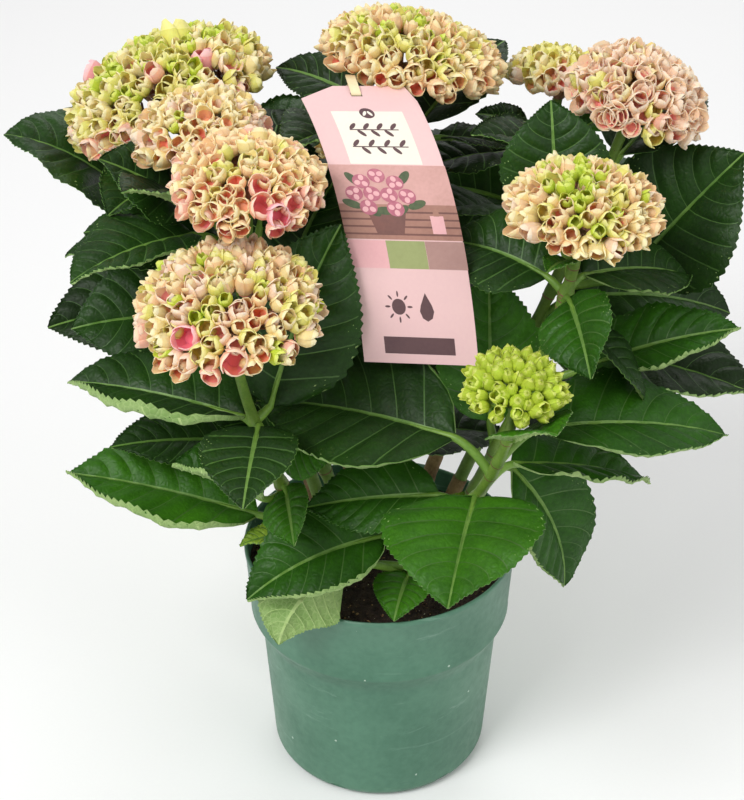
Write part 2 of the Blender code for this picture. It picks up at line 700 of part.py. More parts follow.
def plan_leaves(crown):
    """Every leaf that finds room: the leaves of the plan, then filling pairs in turn from shoot to shoot."""
    placed = {name: [] for name in SHOOTS}
    for name, leaves in LEAVES.items():
        for leaf in leaves:
            placed[name].append(crown.place(name, leaf))
    rng = random.Random(FILL_SEED)
    starts = {name: rng.uniform(0, 90) for name in SHOOTS}
    count = sum(leaf is not None for leaves in placed.values() for leaf in leaves)
    for level, (at, length, rise) in enumerate(zip(FILL_AT, FILL_LENGTH, FILL_RISE)):
        for name in SHOOTS:
            for side in (0, 180):
                turn = starts[name] + 90 * level + side + rng.uniform(-14, 14)
                leaf = Leaf(at + rng.uniform(-0.03, 0.03), turn, rise + rng.uniform(-6, 6), length)
                if count < MOST_LEAVES:
                    found = crown.place(name, leaf, filling=True)
                    placed[name].append(found)
                    count += found is not None
    return {name: [leaf for leaf in leaves if leaf] for name, leaves in placed.items()}


def build_leaves(name, leaves):
    """Fuses a shoot's petioles and blades onto its leafy stem."""
    shoot = SHOOTS[name]
    mass = bpy.data.objects["leaves_" + name]
    helpers = helper_collection("blades_" + name)
    for index, leaf in enumerate(leaves):
        object_of(f"blade_{index}", blade_shape(shoot, leaf), helpers)
        object_of(f"petiole_{index}", petiole_shape(shoot, leaf), helpers)
    fuse(mass, helpers)
    return mass


def build_stems(name, crown, collection):
    """The bare cane and the leafy stem above it, which the leaves keep clear of."""
    shoot = SHOOTS[name]
    foot = shoot_point(shoot, 0)
    points = [foot + Vector((0, 0, GAP)), foot + Vector((0, 0, CANE_FLARE))]
    radii = list(CANE_RADIUS[:2])
    low = share_after(shoot, 0, CANE_FLARE * 1.5)
    for step in range(CANE_STEPS + 1):
        along = step / CANE_STEPS
        points.append(shoot_point(shoot, low + (shoot.cane - low) * along))
        radii.append(CANE_RADIUS[1] + (CANE_RADIUS[2] - CANE_RADIUS[1]) * along)
    cane = limb("cane_" + name, points, radii, collection)
    start = share_after(shoot, shoot.cane, GAP)
    stem = shoot_limb("leaves_" + name, shoot, start, STEM_END, STEM_RADIUS, collection)
    crown.add_object("stem_" + name, cane)
    crown.add_object("stem_" + name, stem)


def clear_scene():
    for obj in list(bpy.data.objects):
        bpy.data.objects.remove(obj)


def build():
    clear_scene()
    part = bpy.data.collections.new("potted_hydrangea")
    cutters = bpy.data.collections.new("cutters")
    bpy.context.scene.collection.children.link(part)
    bpy.context.scene.collection.children.link(cutters)
    materials = {
        "plastic": material("pot_plastic", (0.16, 0.30, 0.25), 0.55),
        "soil": material("soil", (0.035, 0.022, 0.015), 0.95),
        "wood": material("cane_bark", (0.24, 0.19, 0.10), 0.8),
        "leaf": material("leaf_green", (0.035, 0.12, 0.03), 0.45),
        "petal": material("sepal_cream", (0.70, 0.55, 0.38), 0.6),
        "card": material("label_card", (0.72, 0.45, 0.45), 0.5),
        "paper": material("strap_paper", (0.80, 0.72, 0.55), 0.8),
    }
    crown = Crown()
    pot = build_pot(part, cutters)
    soil = build_soil(part)
    label = build_label(part, cutters)
    strap = build_strap(part)
    bpy.context.view_layer.update()
    graph = bpy.context.evaluated_depsgraph_get()
    for obj, surface in ((pot, "plastic"), (soil, "soil"), (label, "card"), (strap, "paper")):
        bm = bmesh.new()
        bm.from_object(obj, graph)
        crown.add(obj.name, bm)
        bm.free()
        finish(obj, materials[surface], SMOOTH_TURNED)
    for name in SHOOTS:
        build_stems(name, crown, part)
    for name, shoot in SHOOTS.items():
        envelope = core_shape(shoot, 1.0)
        crown.add("head_" + name, envelope)
        envelope.free()
    placed = plan_leaves(crown)
    for name in SHOOTS:
        finish(bpy.data.objects["cane_" + name], materials["wood"], SMOOTH_STEM)
        finish(build_leaves(name, placed[name]), materials["leaf"], SMOOTH_LEAF)
        finish(build_head(name, crown, part), materials["petal"])


if __name__ == "__main__":
    build()
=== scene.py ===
"""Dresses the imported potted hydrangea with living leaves, flower heads, stems, soil, pot and label."""

import json
import logging
import math
import random
from dataclasses import dataclass, field, replace
from enum import Enum
from functools import partial
from typing import Any, Iterable, Optional, Sequence

import bmesh
import bpy
import numpy as np
from mathutils import Matrix, Vector, noise
from mathutils.bvhtree import BVHTree

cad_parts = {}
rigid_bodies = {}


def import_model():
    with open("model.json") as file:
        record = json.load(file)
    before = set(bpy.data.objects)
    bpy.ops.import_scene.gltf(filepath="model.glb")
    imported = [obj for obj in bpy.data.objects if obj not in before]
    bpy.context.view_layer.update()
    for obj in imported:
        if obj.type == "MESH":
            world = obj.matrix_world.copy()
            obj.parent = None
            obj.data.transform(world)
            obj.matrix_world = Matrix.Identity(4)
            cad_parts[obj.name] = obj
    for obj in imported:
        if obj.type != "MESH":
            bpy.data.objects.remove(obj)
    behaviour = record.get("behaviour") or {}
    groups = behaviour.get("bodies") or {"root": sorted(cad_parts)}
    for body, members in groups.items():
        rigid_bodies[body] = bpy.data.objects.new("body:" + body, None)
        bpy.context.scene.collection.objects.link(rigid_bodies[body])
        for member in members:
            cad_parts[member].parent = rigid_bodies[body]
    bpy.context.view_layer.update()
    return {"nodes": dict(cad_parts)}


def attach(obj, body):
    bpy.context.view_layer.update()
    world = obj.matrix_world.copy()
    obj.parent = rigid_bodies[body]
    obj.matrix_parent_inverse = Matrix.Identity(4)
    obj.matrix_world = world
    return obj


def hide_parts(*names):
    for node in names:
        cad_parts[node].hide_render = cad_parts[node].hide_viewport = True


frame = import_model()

LOG = logging.getLogger("hydrangea")
MM = 0.001
UP = Vector((0, 0, 1))
BODY = "root"
SOIL_HEIGHT = 118 * MM
STEM_END = 0.93  # share of the shoot where the leafy stem ends and the flower stalk begins
HEAD_BELLY = 0.30  # how flat the underside of a flower head is
GOLDEN_TURN = math.pi * (3 - math.sqrt(5))

Colour = tuple[float, float, float, float]


def srgb(red: float, green: float, blue: float) -> Colour:
    """Turns a screen colour into the linear one that shaders take.

    Args:
        red: Red from 0 to 255.
        green: Green from 0 to 255.
        blue: Blue from 0 to 255.

    Returns:
        The linear colour with full alpha.
    """
    parts = []
    for value in (red, green, blue):
        share = value / 255
        parts.append(share / 12.92 if share <= 0.04045 else ((share + 0.055) / 1.055) ** 2.4)
    return (parts[0], parts[1], parts[2], 1.0)


def heading(turn: float, rise: float) -> Vector:
    """A unit direction from a compass turn and a rise in degrees."""
    a, b = math.radians(turn), math.radians(rise)
    return Vector((math.cos(a) * math.cos(b), math.sin(a) * math.cos(b), math.sin(b)))


# ---------------------------------------------------------------------------------------------- materials


class Weaver:
    """Adds and links nodes in one node tree."""

    def __init__(self, tree: bpy.types.NodeTree) -> None:
        """Keeps the tree that nodes are added to."""
        self.tree = tree

    def add(self, kind: str, inputs: Optional[dict] = None, **settings) -> bpy.types.Node:
        """Adds a node.

        Args:
            kind: The node's Blender type.
            inputs: Values or sockets for its inputs, by name or by index.
            **settings: Values for the node's own properties.

        Returns:
            The new node.
        """
        node = self.tree.nodes.new(kind)
        for key, value in settings.items():
            setattr(node, key, value)
        for key, value in (inputs or {}).items():
            self.feed(node.inputs[key], value)
        return node

    def feed(self, socket: bpy.types.NodeSocket, value: Any) -> None:
        """Gives an input a plain value or links another node's output to it.

        Args:
            socket: The input.
            value: The plain value or the other node's output.
        """
        if isinstance(value, bpy.types.NodeSocket):
            self.tree.links.new(value, socket)
        else:
            socket.default_value = value

    def math(self, operation: str, *values) -> bpy.types.NodeSocket:
        """The result of a Math node on two or three values or sockets."""
        return self.add("ShaderNodeMath", dict(enumerate(values)), operation=operation).outputs[0]

    def blend(self, share: Any, first: Any, second: Any) -> bpy.types.NodeSocket:
        """A colour mixed from two by a share."""
        return self.add("ShaderNodeMix", {0: share, 6: first, 7: second}, data_type="RGBA").outputs[2]

    def remap(self, value: Any, low: Any, high: Any, first: float = 0.0, last: float = 1.0,
              **settings) -> bpy.types.NodeSocket:
        """A value carried from the range low to high over to the range first to last, and kept inside."""
        ends = {0: value, 1: low, 2: high, 3: first, 4: last}
        return self.add("ShaderNodeMapRange", ends, **settings).outputs[0]

    def noise(self, place: Any, scale: Any, detail: float, **more) -> bpy.types.Node:
        """A noise texture at a place."""
        return self.add("ShaderNodeTexNoise", {"Vector": place, "Scale": scale, "Detail": detail, **more})

    def group(self, tree: bpy.types.NodeTree, inputs: dict) -> bpy.types.Node:
        """A shader group with its inputs."""
        return self.add("ShaderNodeGroup", inputs, node_tree=tree)

    def children(self, collection: bpy.types.NodeSocket) -> bpy.types.NodeSocket:
        """A collection's objects as instances to pick from."""
        inputs = {"Collection": collection, "Separate Children": True, "Reset Children": True}
        return self.add("GeometryNodeCollectionInfo", inputs).outputs[0]

    def stored(self, name: str, kind: str) -> bpy.types.NodeSocket:
        """An attribute that the points carry."""
        node = self.add("GeometryNodeInputNamedAttribute", {"Name": name}, data_type=kind)
        return node.outputs["Attribute"]

    def finish(self, spread: bpy.types.Node, result: bpy.types.NodeInputs, dyes: dict) -> None:
        """Makes instances real, gives them a material and hands them out as the tree's result.

        Args:
            spread: The node that sets the instances out.
            result: The sockets that take the tree's results.
            dyes: The material and, where not all faces take it, their selection.
        """
        real = self.add("GeometryNodeRealizeInstances", {"Geometry": spread.outputs[0]})
        done = self.add("GeometryNodeSetMaterial", {"Geometry": real.outputs[0], **dyes})
        self.feed(result[0], done.outputs[0])


def start_group(name: str, family: str, inputs: Sequence[tuple], outputs: Sequence[tuple]) -> tuple:
    """Starts a node group with named sockets.

    Args:
        name: The group's name.
        family: Shader or Geometry.
        inputs: Name and kind of each input, and its default where it has one.
        outputs: Name and kind of each output.

    Returns:
        The group's Weaver, the sockets that bring its inputs and the sockets that take its results.
    """
    tree = bpy.data.node_groups.new(name, family + "NodeTree")
    for label, kind, *default in inputs:
        socket = tree.interface.new_socket(label, in_out="INPUT", socket_type="NodeSocket" + kind)
        if default:
            socket.default_value = default[0]
    for label, kind in outputs:
        tree.interface.new_socket(label, in_out="OUTPUT", socket_type="NodeSocket" + kind)
    weave = Weaver(tree)
    return weave, weave.add("NodeGroupInput").outputs, weave.add("NodeGroupOutput").inputs


class Effects:
    """The shader groups that the finishes share: mottling, tissue, specks and scuffs."""

    MOTTLE_LAYERS = (("Patch Scale", 3.0, 0.68), ("Grain Scale", 2.0, 0.32))  # scale, detail, weight
    MOTTLE_RANGE = (0.36, 0.64)  # noise over which the colour turns into the shade
    NET_BEND_SCALE = 220.0
    NET_BEND = 0.002  # metres that the veinlets stray
    ISLET = 0.30  # how far from a veinlet the islets are at their full height
    VEINLET = 0.09  # how far the colour of a veinlet reaches
    SPECK_SIZE = 0.22  # radius of the largest speck in cells
    STREAK = (0.5, 0.5, 3.2)  # stretch of the scuffs
    SCUFF_START = 0.80  # noise above which a surface with no wear would be scuffed
    SCUFF_REACH = 0.36  # how much full wear lowers that
    SCUFF_FADE = 0.16

    def __init__(self) -> None:
        """Builds each group once."""
        self.mottle = self._mottle()
        self.tissue = self._tissue()
        self.specks = self._specks()
        self.scuffs = self._scuffs()

    def _mottle(self) -> bpy.types.NodeTree:
        """Soft patches of a second colour, at two scales.

        Returns:
            The group's tree.
        """
        weave, given, result = start_group(
            "mottle", "Shader",
            (("Vector", "Vector"), ("Patch Scale", "Float", 60.0), ("Grain Scale", "Float", 600.0),
             ("Colour", "Color"), ("Shade", "Color")),
            (("Colour", "Color"), ("Mask", "Float")))
        layers = []
        for scale, detail, weight in self.MOTTLE_LAYERS:
            layer = weave.noise(given["Vector"], given[scale], detail)
            layers.append(weave.math("MULTIPLY", layer.outputs[0], weight))
        mask = weave.remap(weave.math("ADD", *layers), *self.MOTTLE_RANGE)
        weave.feed(result["Colour"], weave.blend(mask, given["Colour"], given["Shade"]))
        weave.feed(result["Mask"], mask)
        return weave.tree

    def _tissue(self) -> bpy.types.NodeTree:
        """The fine net of veinlets with puckered islets between, as a height and a mask of the lines.

        Returns:
            The group's tree.
        """
        weave, given, result = start_group(
            "tissue", "Shader", (("Vector", "Vector"), ("Scale", "Float", 300.0)),
            (("Height", "Float"), ("Lines", "Float")))
        bent = weave.noise(given["Vector"], self.NET_BEND_SCALE, 1.0)
        shift = weave.add("ShaderNodeVectorMath", {0: bent.outputs["Color"], 1: (self.NET_BEND,) * 3},
                          operation="MULTIPLY")
        place = weave.add("ShaderNodeVectorMath", {0: given["Vector"], 1: shift.outputs[0]}, operation="ADD")
        cells = weave.add("ShaderNodeTexVoronoi", {"Vector": place.outputs[0], "Scale": given["Scale"]},
                          feature="DISTANCE_TO_EDGE").outputs["Distance"]
        height = weave.remap(cells, 0.0, self.ISLET, interpolation_type="SMOOTHSTEP")
        weave.feed(result["Height"], height)
        weave.feed(result["Lines"], weave.remap(cells, 0.0, self.VEINLET, 1.0, 0.0))
        return weave.tree

    def _specks(self) -> bpy.types.NodeTree:
        """Small scattered dots, such as dust or crumbs.

        Returns:
            The group's tree.
        """
        weave, given, result = start_group(
            "specks", "Shader", (("Vector", "Vector"), ("Scale", "Float", 300.0), ("Coverage", "Float", 0.3)),
            (("Mask", "Float"),))
        cells = weave.add("ShaderNodeTexVoronoi", {"Vector": given["Vector"], "Scale": given["Scale"]})
        chosen = weave.add("ShaderNodeSeparateColor", {0: cells.outputs["Color"]})
        kept = weave.math("LESS_THAN", chosen.outputs[0], given["Coverage"])
        size = weave.math("MULTIPLY", chosen.outputs[1], self.SPECK_SIZE)
        near = weave.math("LESS_THAN", cells.outputs["Distance"], size)
        weave.feed(result["Mask"], weave.math("MULTIPLY", kept, near))
        return weave.tree

    def _scuffs(self) -> bpy.types.NodeTree:
        """Streaky rubbed places.

        Returns:
            The group's tree.
        """
        weave, given, result = start_group(
            "scuffs", "Shader", (("Vector", "Vector"), ("Scale", "Float", 30.0), ("Amount", "Float", 0.5)),
            (("Mask", "Float"),))
        long = weave.add("ShaderNodeMapping", {"Vector": given["Vector"], "Scale": self.STREAK}).outputs[0]
        streaks = weave.noise(long, given["Scale"], 8.0, Roughness=0.72, Distortion=0.6)
        reach = weave.math("MULTIPLY", given["Amount"], self.SCUFF_REACH)
        low = weave.math("SUBTRACT", self.SCUFF_START, reach)
        high = weave.math("ADD", low, self.SCUFF_FADE)
        weave.feed(result["Mask"], weave.remap(streaks.outputs[0], low, high))
        return weave.tree


@dataclass(frozen=True)
class Finish:
    """How one kind of surface looks.

    Scales are in repeats for each metre, depths in metres.
    """

    name: str
    colour: Colour
    shade: Colour
    roughness: float = 0.6
    patch: float = 60.0
    grain: float = 600.0
    gloss_swing: float = 0.10
    tissue: float = 0.0
    tissue_depth: float = 0.0
    vein: Optional[Colour] = None
    vein_share: float = 0.35
    relief: float = 0.0
    relief_depth: float = 0.0
    specks: float = 0.0
    speck_scale: float = 300.0
    speck_colour: Colour = (0.7, 0.68, 0.6, 1.0)
    scuffs: float = 0.0
    scuff_share: float = 0.55
    scuff_colour: Colour = (0.6, 0.65, 0.62, 1.0)
    specular: float = 0.5
    subsurface: float = 0.0
    glow_depth: tuple[float, float, float] = (0.004, 0.003, 0.0015)

    def make(self, effects: Effects) -> bpy.types.Material:
        """Builds the finish's material.

        Args:
            effects: The shared shader groups.

        Returns:
            The material.
        """
        made = bpy.data.materials.new(self.name)
        made.use_nodes = True
        weave = Weaver(made.node_tree)
        shader = made.node_tree.nodes["Principled BSDF"].inputs
        place = weave.add("ShaderNodeTexCoord").outputs["Object"]
        mottle = weave.group(effects.mottle, {"Patch Scale": self.patch, "Grain Scale": self.grain,
                                              "Colour": self.colour, "Shade": self.shade, "Vector": place})
        colour, height = mottle.outputs["Colour"], None
        if self.tissue:
            net = weave.group(effects.tissue, {"Vector": place, "Scale": self.tissue})
            height = weave.math("MULTIPLY", net.outputs["Height"], self.tissue_depth)
            if self.vein:
                lines = weave.math("MULTIPLY", net.outputs["Lines"], self.vein_share)
                colour = weave.blend(lines, colour, self.vein)
        if self.relief:
            rough = weave.noise(place, self.relief, 6.0)
            bumps = weave.math("MULTIPLY", rough.outputs[0], self.relief_depth)
            height = weave.math("ADD", height, bumps) if height else bumps
        if self.scuffs:
            rubbed = weave.group(effects.scuffs, {"Vector": place, "Amount": self.scuffs})
            share = weave.math("MULTIPLY", rubbed.outputs[0], self.scuff_share)
            colour = weave.blend(share, colour, self.scuff_colour)
        if self.specks:
            dust = weave.group(effects.specks, {"Vector": place, "Scale": self.speck_scale,
                                                "Coverage": self.specks})
            colour = weave.blend(dust.outputs[0], colour, self.speck_colour)
        weave.feed(shader["Base Color"], colour)
        gloss = weave.remap(mottle.outputs["Mask"], 0.0, 1.0, self.roughness - self.gloss_swing,
                            self.roughness + self.gloss_swing)
        weave.feed(shader["Roughness"], gloss)
        if height:
            bump = weave.add("ShaderNodeBump", {"Height": height, "Strength": 1.0, "Distance": 1.0})
            weave.feed(shader["Normal"], bump.outputs[0])
        weave.feed(shader["Specular IOR Level"], self.specular)
        if self.subsurface:
            weave.feed(shader["Subsurface Weight"], self.subsurface)
            weave.feed(shader["Subsurface Radius"], self.glow_depth)
            weave.feed(shader["Subsurface Scale"], 1.0)
        return made


class Palette:
    """Makes each finish once and hands out its material."""

    def __init__(self) -> None:
        """Starts with no materials."""
        self.effects = Effects()
        self.made: dict[str, bpy.types.Material] = {}

    def get(self, finish: Finish) -> bpy.types.Material:
        """The material of a finish, built on first use.

        Args:
            finish: The finish.

        Returns:
            Its material.
        """
        if finish.name not in self.made:
            self.made[finish.name] = finish.make(self.effects)
        return self.made[finish.name]

    def all(self, finishes: Iterable[Finish]) -> list[bpy.types.Material]:
        """The materials of several finishes, in order."""
        return [self.get(finish) for finish in finishes]


def leaf_top(name: str, colour: Colour, shade: Colour, roughness: float) -> Finish:
    """The finish of a blade's upper side.

    Args:
        name: The finish's name.
        colour: Its main green.
        shade: Its darker green.
        roughness: Its mean roughness.

    Returns:
        The finish.
    """
    return Finish(name, colour, shade, roughness, patch=38.0, grain=500.0, gloss_swing=0.07, tissue=330.0,
                  tissue_depth=0.0001, vein=shade, relief=120.0, relief_depth=0.0006, specular=0.22)


LEAF_DEEP = leaf_top("leaf_deep", srgb(29, 53, 16), srgb(20, 38, 11), 0.48)
LEAF_DARK = leaf_top("leaf_dark", srgb(36, 70, 18), srgb(24, 49, 13), 0.47)
LEAF_MID = leaf_top("leaf_mid", srgb(44, 92, 14), srgb(30, 68, 11), 0.46)
LEAF_BRIGHT = leaf_top("leaf_bright", srgb(60, 114, 20), srgb(42, 88, 15), 0.45)
LEAF_YOUNG = leaf_top("leaf_young", srgb(148, 176, 62), srgb(108, 146, 44), 0.45)
LEAF_VEIN = Finish("leaf_vein", srgb(72, 108, 46), srgb(54, 88, 34), 0.5, specular=0.4)
LEAF_RIB = Finish("leaf_rib", srgb(112, 148, 68), srgb(86, 124, 50), 0.5, specular=0.4)
LEAF_EDGE = Finish("leaf_edge", srgb(98, 140, 58), srgb(72, 112, 42), 0.5, specular=0.4)
LEAF_UNDER = Finish("leaf_underside", srgb(146, 172, 106), srgb(118, 150, 82), 0.62, patch=50.0, tissue=330.0,
                    tissue_depth=0.0002, vein=srgb(166, 190, 126), specular=0.3)
LEAF_UNDER_RIB = Finish("leaf_underside_rib", srgb(172, 194, 130), srgb(148, 176, 104), 0.6, specular=0.3)
STEM_GREEN = Finish("stem_green", srgb(112, 142, 54), srgb(84, 116, 40), 0.5, patch=90.0, grain=900.0,
                    specks=0.35, speck_scale=700.0, speck_colour=srgb(96, 72, 52), relief=700.0,
                    relief_depth=0.0001, specular=0.4)
PETIOLE_GREEN = Finish("petiole_green", srgb(118, 154, 60), srgb(88, 126, 42), 0.48, patch=80.0, specular=0.4)
NODE_SCAR = Finish("node_scar", srgb(126, 96, 66), srgb(92, 64, 44), 0.75, patch=300.0)
BARK = Finish("cane_bark", srgb(150, 124, 84), srgb(104, 82, 54), 0.8, patch=120.0, grain=900.0, relief=400.0,
              relief_depth=0.0007, specks=0.25, speck_scale=420.0, speck_colour=srgb(84, 64, 44))
PEDICEL = Finish("pedicel_rose", srgb(158, 128, 88), srgb(150, 84, 78), 0.55, patch=150.0)
PEDICEL_LIME = Finish("pedicel_lime", srgb(150, 176, 72), srgb(120, 152, 54), 0.55, patch=150.0)


# ------------------------------------------------------------------------------------------ mesh gathering


@dataclass
class MeshStore:
    """Gathers points and faces of one kind until they become one mesh."""

    points: list[np.ndarray] = field(default_factory=list)
    faces: list = field(default_factory=list)
    slots: list = field(default_factory=list)
    count: int = 0

    def add(self, points: np.ndarray, faces: Iterable, slots: Iterable) -> None:
        """Adds a shape.

        Args:
            points: Its points, one row each.
            faces: Its faces as rows of point numbers.
            slots: The material slot of each face.
        """
        start = self.count
        self.points.append(np.asarray(points, float))
        self.faces.extend([tuple(int(i) + start for i in face) for face in faces])
        self.slots.extend(int(slot) for slot in slots)
        self.count += len(points)

    def tube(self, path: np.ndarray, radii: np.ndarray, sides: int, slot: int) -> None:
        """Adds a closed round tube along a path.

        Args:
            path: The path's points.
            radii: The radius at each point.
            sides: Faces round the tube.
            slot: Its material slot.
        """
        rings, faces = tube_grid(path, radii, sides)
        self.add(rings, faces, [slot] * len(faces))

    def to_object(self, name: str, materials: list[bpy.types.Material], smooth: float) -> bpy.types.Object:
        """Makes the gathered shapes one object at the origin.

        Args:
            name: The object's name.
            materials: Its material slots in order.
            smooth: The greatest angle in degrees that still shades smoothly.

        Returns:
            The object.
        """
        mesh = bpy.data.meshes.new(name)
        mesh.from_pydata(np.concatenate(self.points), [], self.faces)
        for made in materials:
            mesh.materials.append(made)
        mesh.polygons.foreach_set("material_index", np.array(self.slots, np.int32))
        mesh.shade_smooth()
        mesh.set_sharp_from_angle(angle=math.radians(smooth))
        return link(bpy.data.objects.new(name, mesh))


def link(obj: bpy.types.Object) -> bpy.types.Object:
    """Puts an object in the scene."""
    bpy.context.scene.collection.objects.link(obj)
    return obj


def tube_grid(path: np.ndarray, radii: np.ndarray, sides: int) -> tuple[np.ndarray, list]:
    """Points and faces of a closed tube along a path.

    Args:
        path: The path's points.
        radii: The radius at each point.
        sides: Faces round the tube.

    Returns:
        The points and the faces.
    """
    path = np.asarray(path, float)
    ways = np.gradient(path, axis=0)
    ways /= np.linalg.norm(ways, axis=1, keepdims=True)
    across = np.cross(ways[0], (0.0, 0.0, 1.0) if abs(ways[0][2]) < 0.9 else (1.0, 0.0, 0.0))
    rings = []
    angles = np.arange(sides) / sides * 2 * np.pi
    for point, way, radius in zip(path, ways, radii):
        across = across - way * across.dot(way)
        across /= np.linalg.norm(across)
        other = np.cross(way, across)
        rings.append(point + radius * (np.outer(np.cos(angles), across) + np.outer(np.sin(angles), other)))
    faces = band_faces(len(path), sides)
    faces.append(tuple(reversed(range(sides))))
    faces.append(tuple((len(path) - 1) * sides + side for side in range(sides)))
    return np.concatenate(rings), faces


def band_faces(rings: int, sides: int, closed: bool = False) -> list[tuple[int, ...]]:
    """Quads between rings of points that lie one after another.

    Args:
        rings: How many rings there are.
        sides: Points in each ring.
        closed: Whether the last ring joins the first.

    Returns:
        The quads as point numbers.
    """
    faces = []
    for ring in range(rings if closed else rings - 1):
        low, high = ring * sides, (ring + 1) % rings * sides
        for side in range(sides):
            after = (side + 1) % sides
            faces.append((low + side, low + after, high + after, high + side))
    return faces


def facing_z(way: Vector, place: Vector) -> Matrix:
    """The pose of a shape that is moved to a place with its Z axis turned along a way."""
    return Matrix.Translation(place) @ way.to_track_quat("Z", "Y").to_matrix().to_4x4()


def bezier(points: Sequence[Vector], steps: int) -> np.ndarray:
    """Points along a cubic Bezier curve with four control points.

    Args:
        points: The control points.
        steps: How many points.

    Returns:
        The points, one row each.
    """
    a, b, c, d = (np.array(point, float) for point in points)
    share = np.linspace(0, 1, steps)[:, None]
    rest = 1 - share
    return rest**3 * a + 3 * rest**2 * share * b + 3 * rest * share**2 * c + share**3 * d


def dress(piece: bpy.types.Object, slot: str, *nodes: str) -> None:
    """Fixes a finished piece to the frame.

    Args:
        piece: The piece.
        slot: The record's material slot; not used.
        *nodes: The CAD nodes it stands for.
    """
    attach(piece, BODY)
    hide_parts(*nodes)
    LOG.info("%s: %d faces", piece.name, len(piece.data.polygons))


# ----------------------------------------------------------------------------------------- how shoots grow


@dataclass(frozen=True)
class Shoot:
    """One stem from the soil to its flower head, in mm and degrees."""

    foot: tuple[float, float]  # compass turn and distance from the pot's middle
    head: tuple[float, float, float]  # middle of the flower head
    width: float  # of the head
    dome: float  # the head's height over its middle, as a share of half its width
    lean: tuple[float, float]  # degrees the head leans, and the compass turn it leans to
    cane: float = 0.16  # share of the shoot that is woody
    sink: float = 0.22  # how far the stem reaches up to under the head's middle, as a share of the width
    pull: float = 0.30  # how far the curve's inner controls lie up the climb

    @property
    def axis(self) -> Vector:
        """The way the flower head faces."""
        return heading(self.lean[1], 90 - self.lean[0])

    def point(self, share: float) -> Vector:
        """A point on the shoot's curve, from the soil (0) to the underside of its head (1).

        Args:
            share: The share of the way up.

        Returns:
            The point in metres.
        """
        turn, reach = self.foot
        foot = heading(turn, 0) * reach * MM + UP * SOIL_HEIGHT
        top = Vector(self.head) * MM - self.axis * self.sink * self.width * MM
        climb = top.z - foot.z
        lower = foot.lerp(Vector((top.x, top.y, foot.z)), self.pull) + UP * self.pull * climb
        upper = top - self.axis * self.pull * climb
        rest = 1 - share
        return rest**3 * foot + 3 * rest**2 * share * lower + 3 * rest * share**2 * upper + share**3 * top

    def path(self, start: float, end: float, steps: int) -> np.ndarray:
        """Points along a stretch of the shoot."""
        return np.array([self.point(share) for share in np.linspace(start, end, steps)])

    def head_frame(self) -> tuple[Vector, Vector, Vector, Vector]:
        """Centre of the flower head and its two side directions and axis."""
        side = self.axis.cross(Vector((0.3, 1.0, 0.1))).normalized()
        return Vector(self.head) * MM, side, self.axis.cross(side), self.axis

    def dome_point(self, cosine: float, angle: float, share: float = 1.0) -> Vector:
        """A point of the head's dome.

        Args:
            cosine: Cosine of the angle from the head's axis.
            angle: Turn round the axis in radians.
            share: Share of the way from the head's centre to its surface.

        Returns:
            The point.
        """
        centre, side, other, axis = self.head_frame()
        sine = math.sqrt(max(1 - cosine * cosine, 0.0))
        height = self.dome if cosine > 0 else HEAD_BELLY
        ring = side * math.cos(angle) + other * math.sin(angle)
        return centre + (ring * sine + axis * cosine * height) * self.width * MM / 2 * share


class Tint(Enum):
    """Which green a leaf has."""

    DEEP = 0
    DARK = 1
    MID = 2
    BRIGHT = 3
    YOUNG = 4


DEEP, DARK, MID, BRIGHT, YOUNG = Tint


@dataclass(frozen=True)
class Leaf:
    """One leaf, in mm and degrees."""

    at: float  # share of the shoot where it leaves
    turn: float  # compass turn
    rise: float  # of the blade's foot over level
    length: float  # of the blade
    roll: float = 0
    ratio: float = 0.8  # width against length
    droop: float = 25  # how far the blade bends down from foot to tip
    stalk: float = 24  # length of the petiole
    lift: float = 40  # rise of the petiole
    fold: float = 12  # of each half about the midrib
    veer: float = 0  # turn of the blade away from its petiole
    tint: Tint = Tint.DARK
    cup: float = 0  # extra degrees that each side turns up towards its edge
    curl: tuple[int, float, float] = (0, 0.0, 0.0)  # side whose edge folds over, share still flat, degrees
    curl_too: tuple[int, float, float] = (0, 0.0, 0.0)  # the same for the other side


SHOOTS = {
    "back_left": Shoot((150, 30), (-103, 82, 338), 108, 0.60, (22, 160)),
    "mid_left": Shoot((185, 20), (-83, 15, 350), 64, 0.62, (8, 200)),
    "centre": Shoot((230, 12), (-58, -40, 352), 70, 0.45, (10, 290)),
    "front_left": Shoot((215, 34), (-65, -85, 315), 84, 0.50, (14, 260), cane=0.07),
    "back": Shoot((80, 24), (15, 60, 369), 90, 0.45, (12, 20)),
    "back_right": Shoot((30, 32), (118, 35, 356), 68, 0.85, (18, 10)),
    "far_right": Shoot((62, 40), (90, 98, 341), 56, 0.60, (15, 60)),
    "right": Shoot((340, 30), (88, -45, 343), 70, 0.50, (8, 290)),
    "front": Shoot((290, 30), (58, -98, 283), 48, 0.75, (6, 300), cane=0.07),
    "rear_left": Shoot((110, 42), (-27, 140, 267), 76, 0.55, (20, 110)),
}

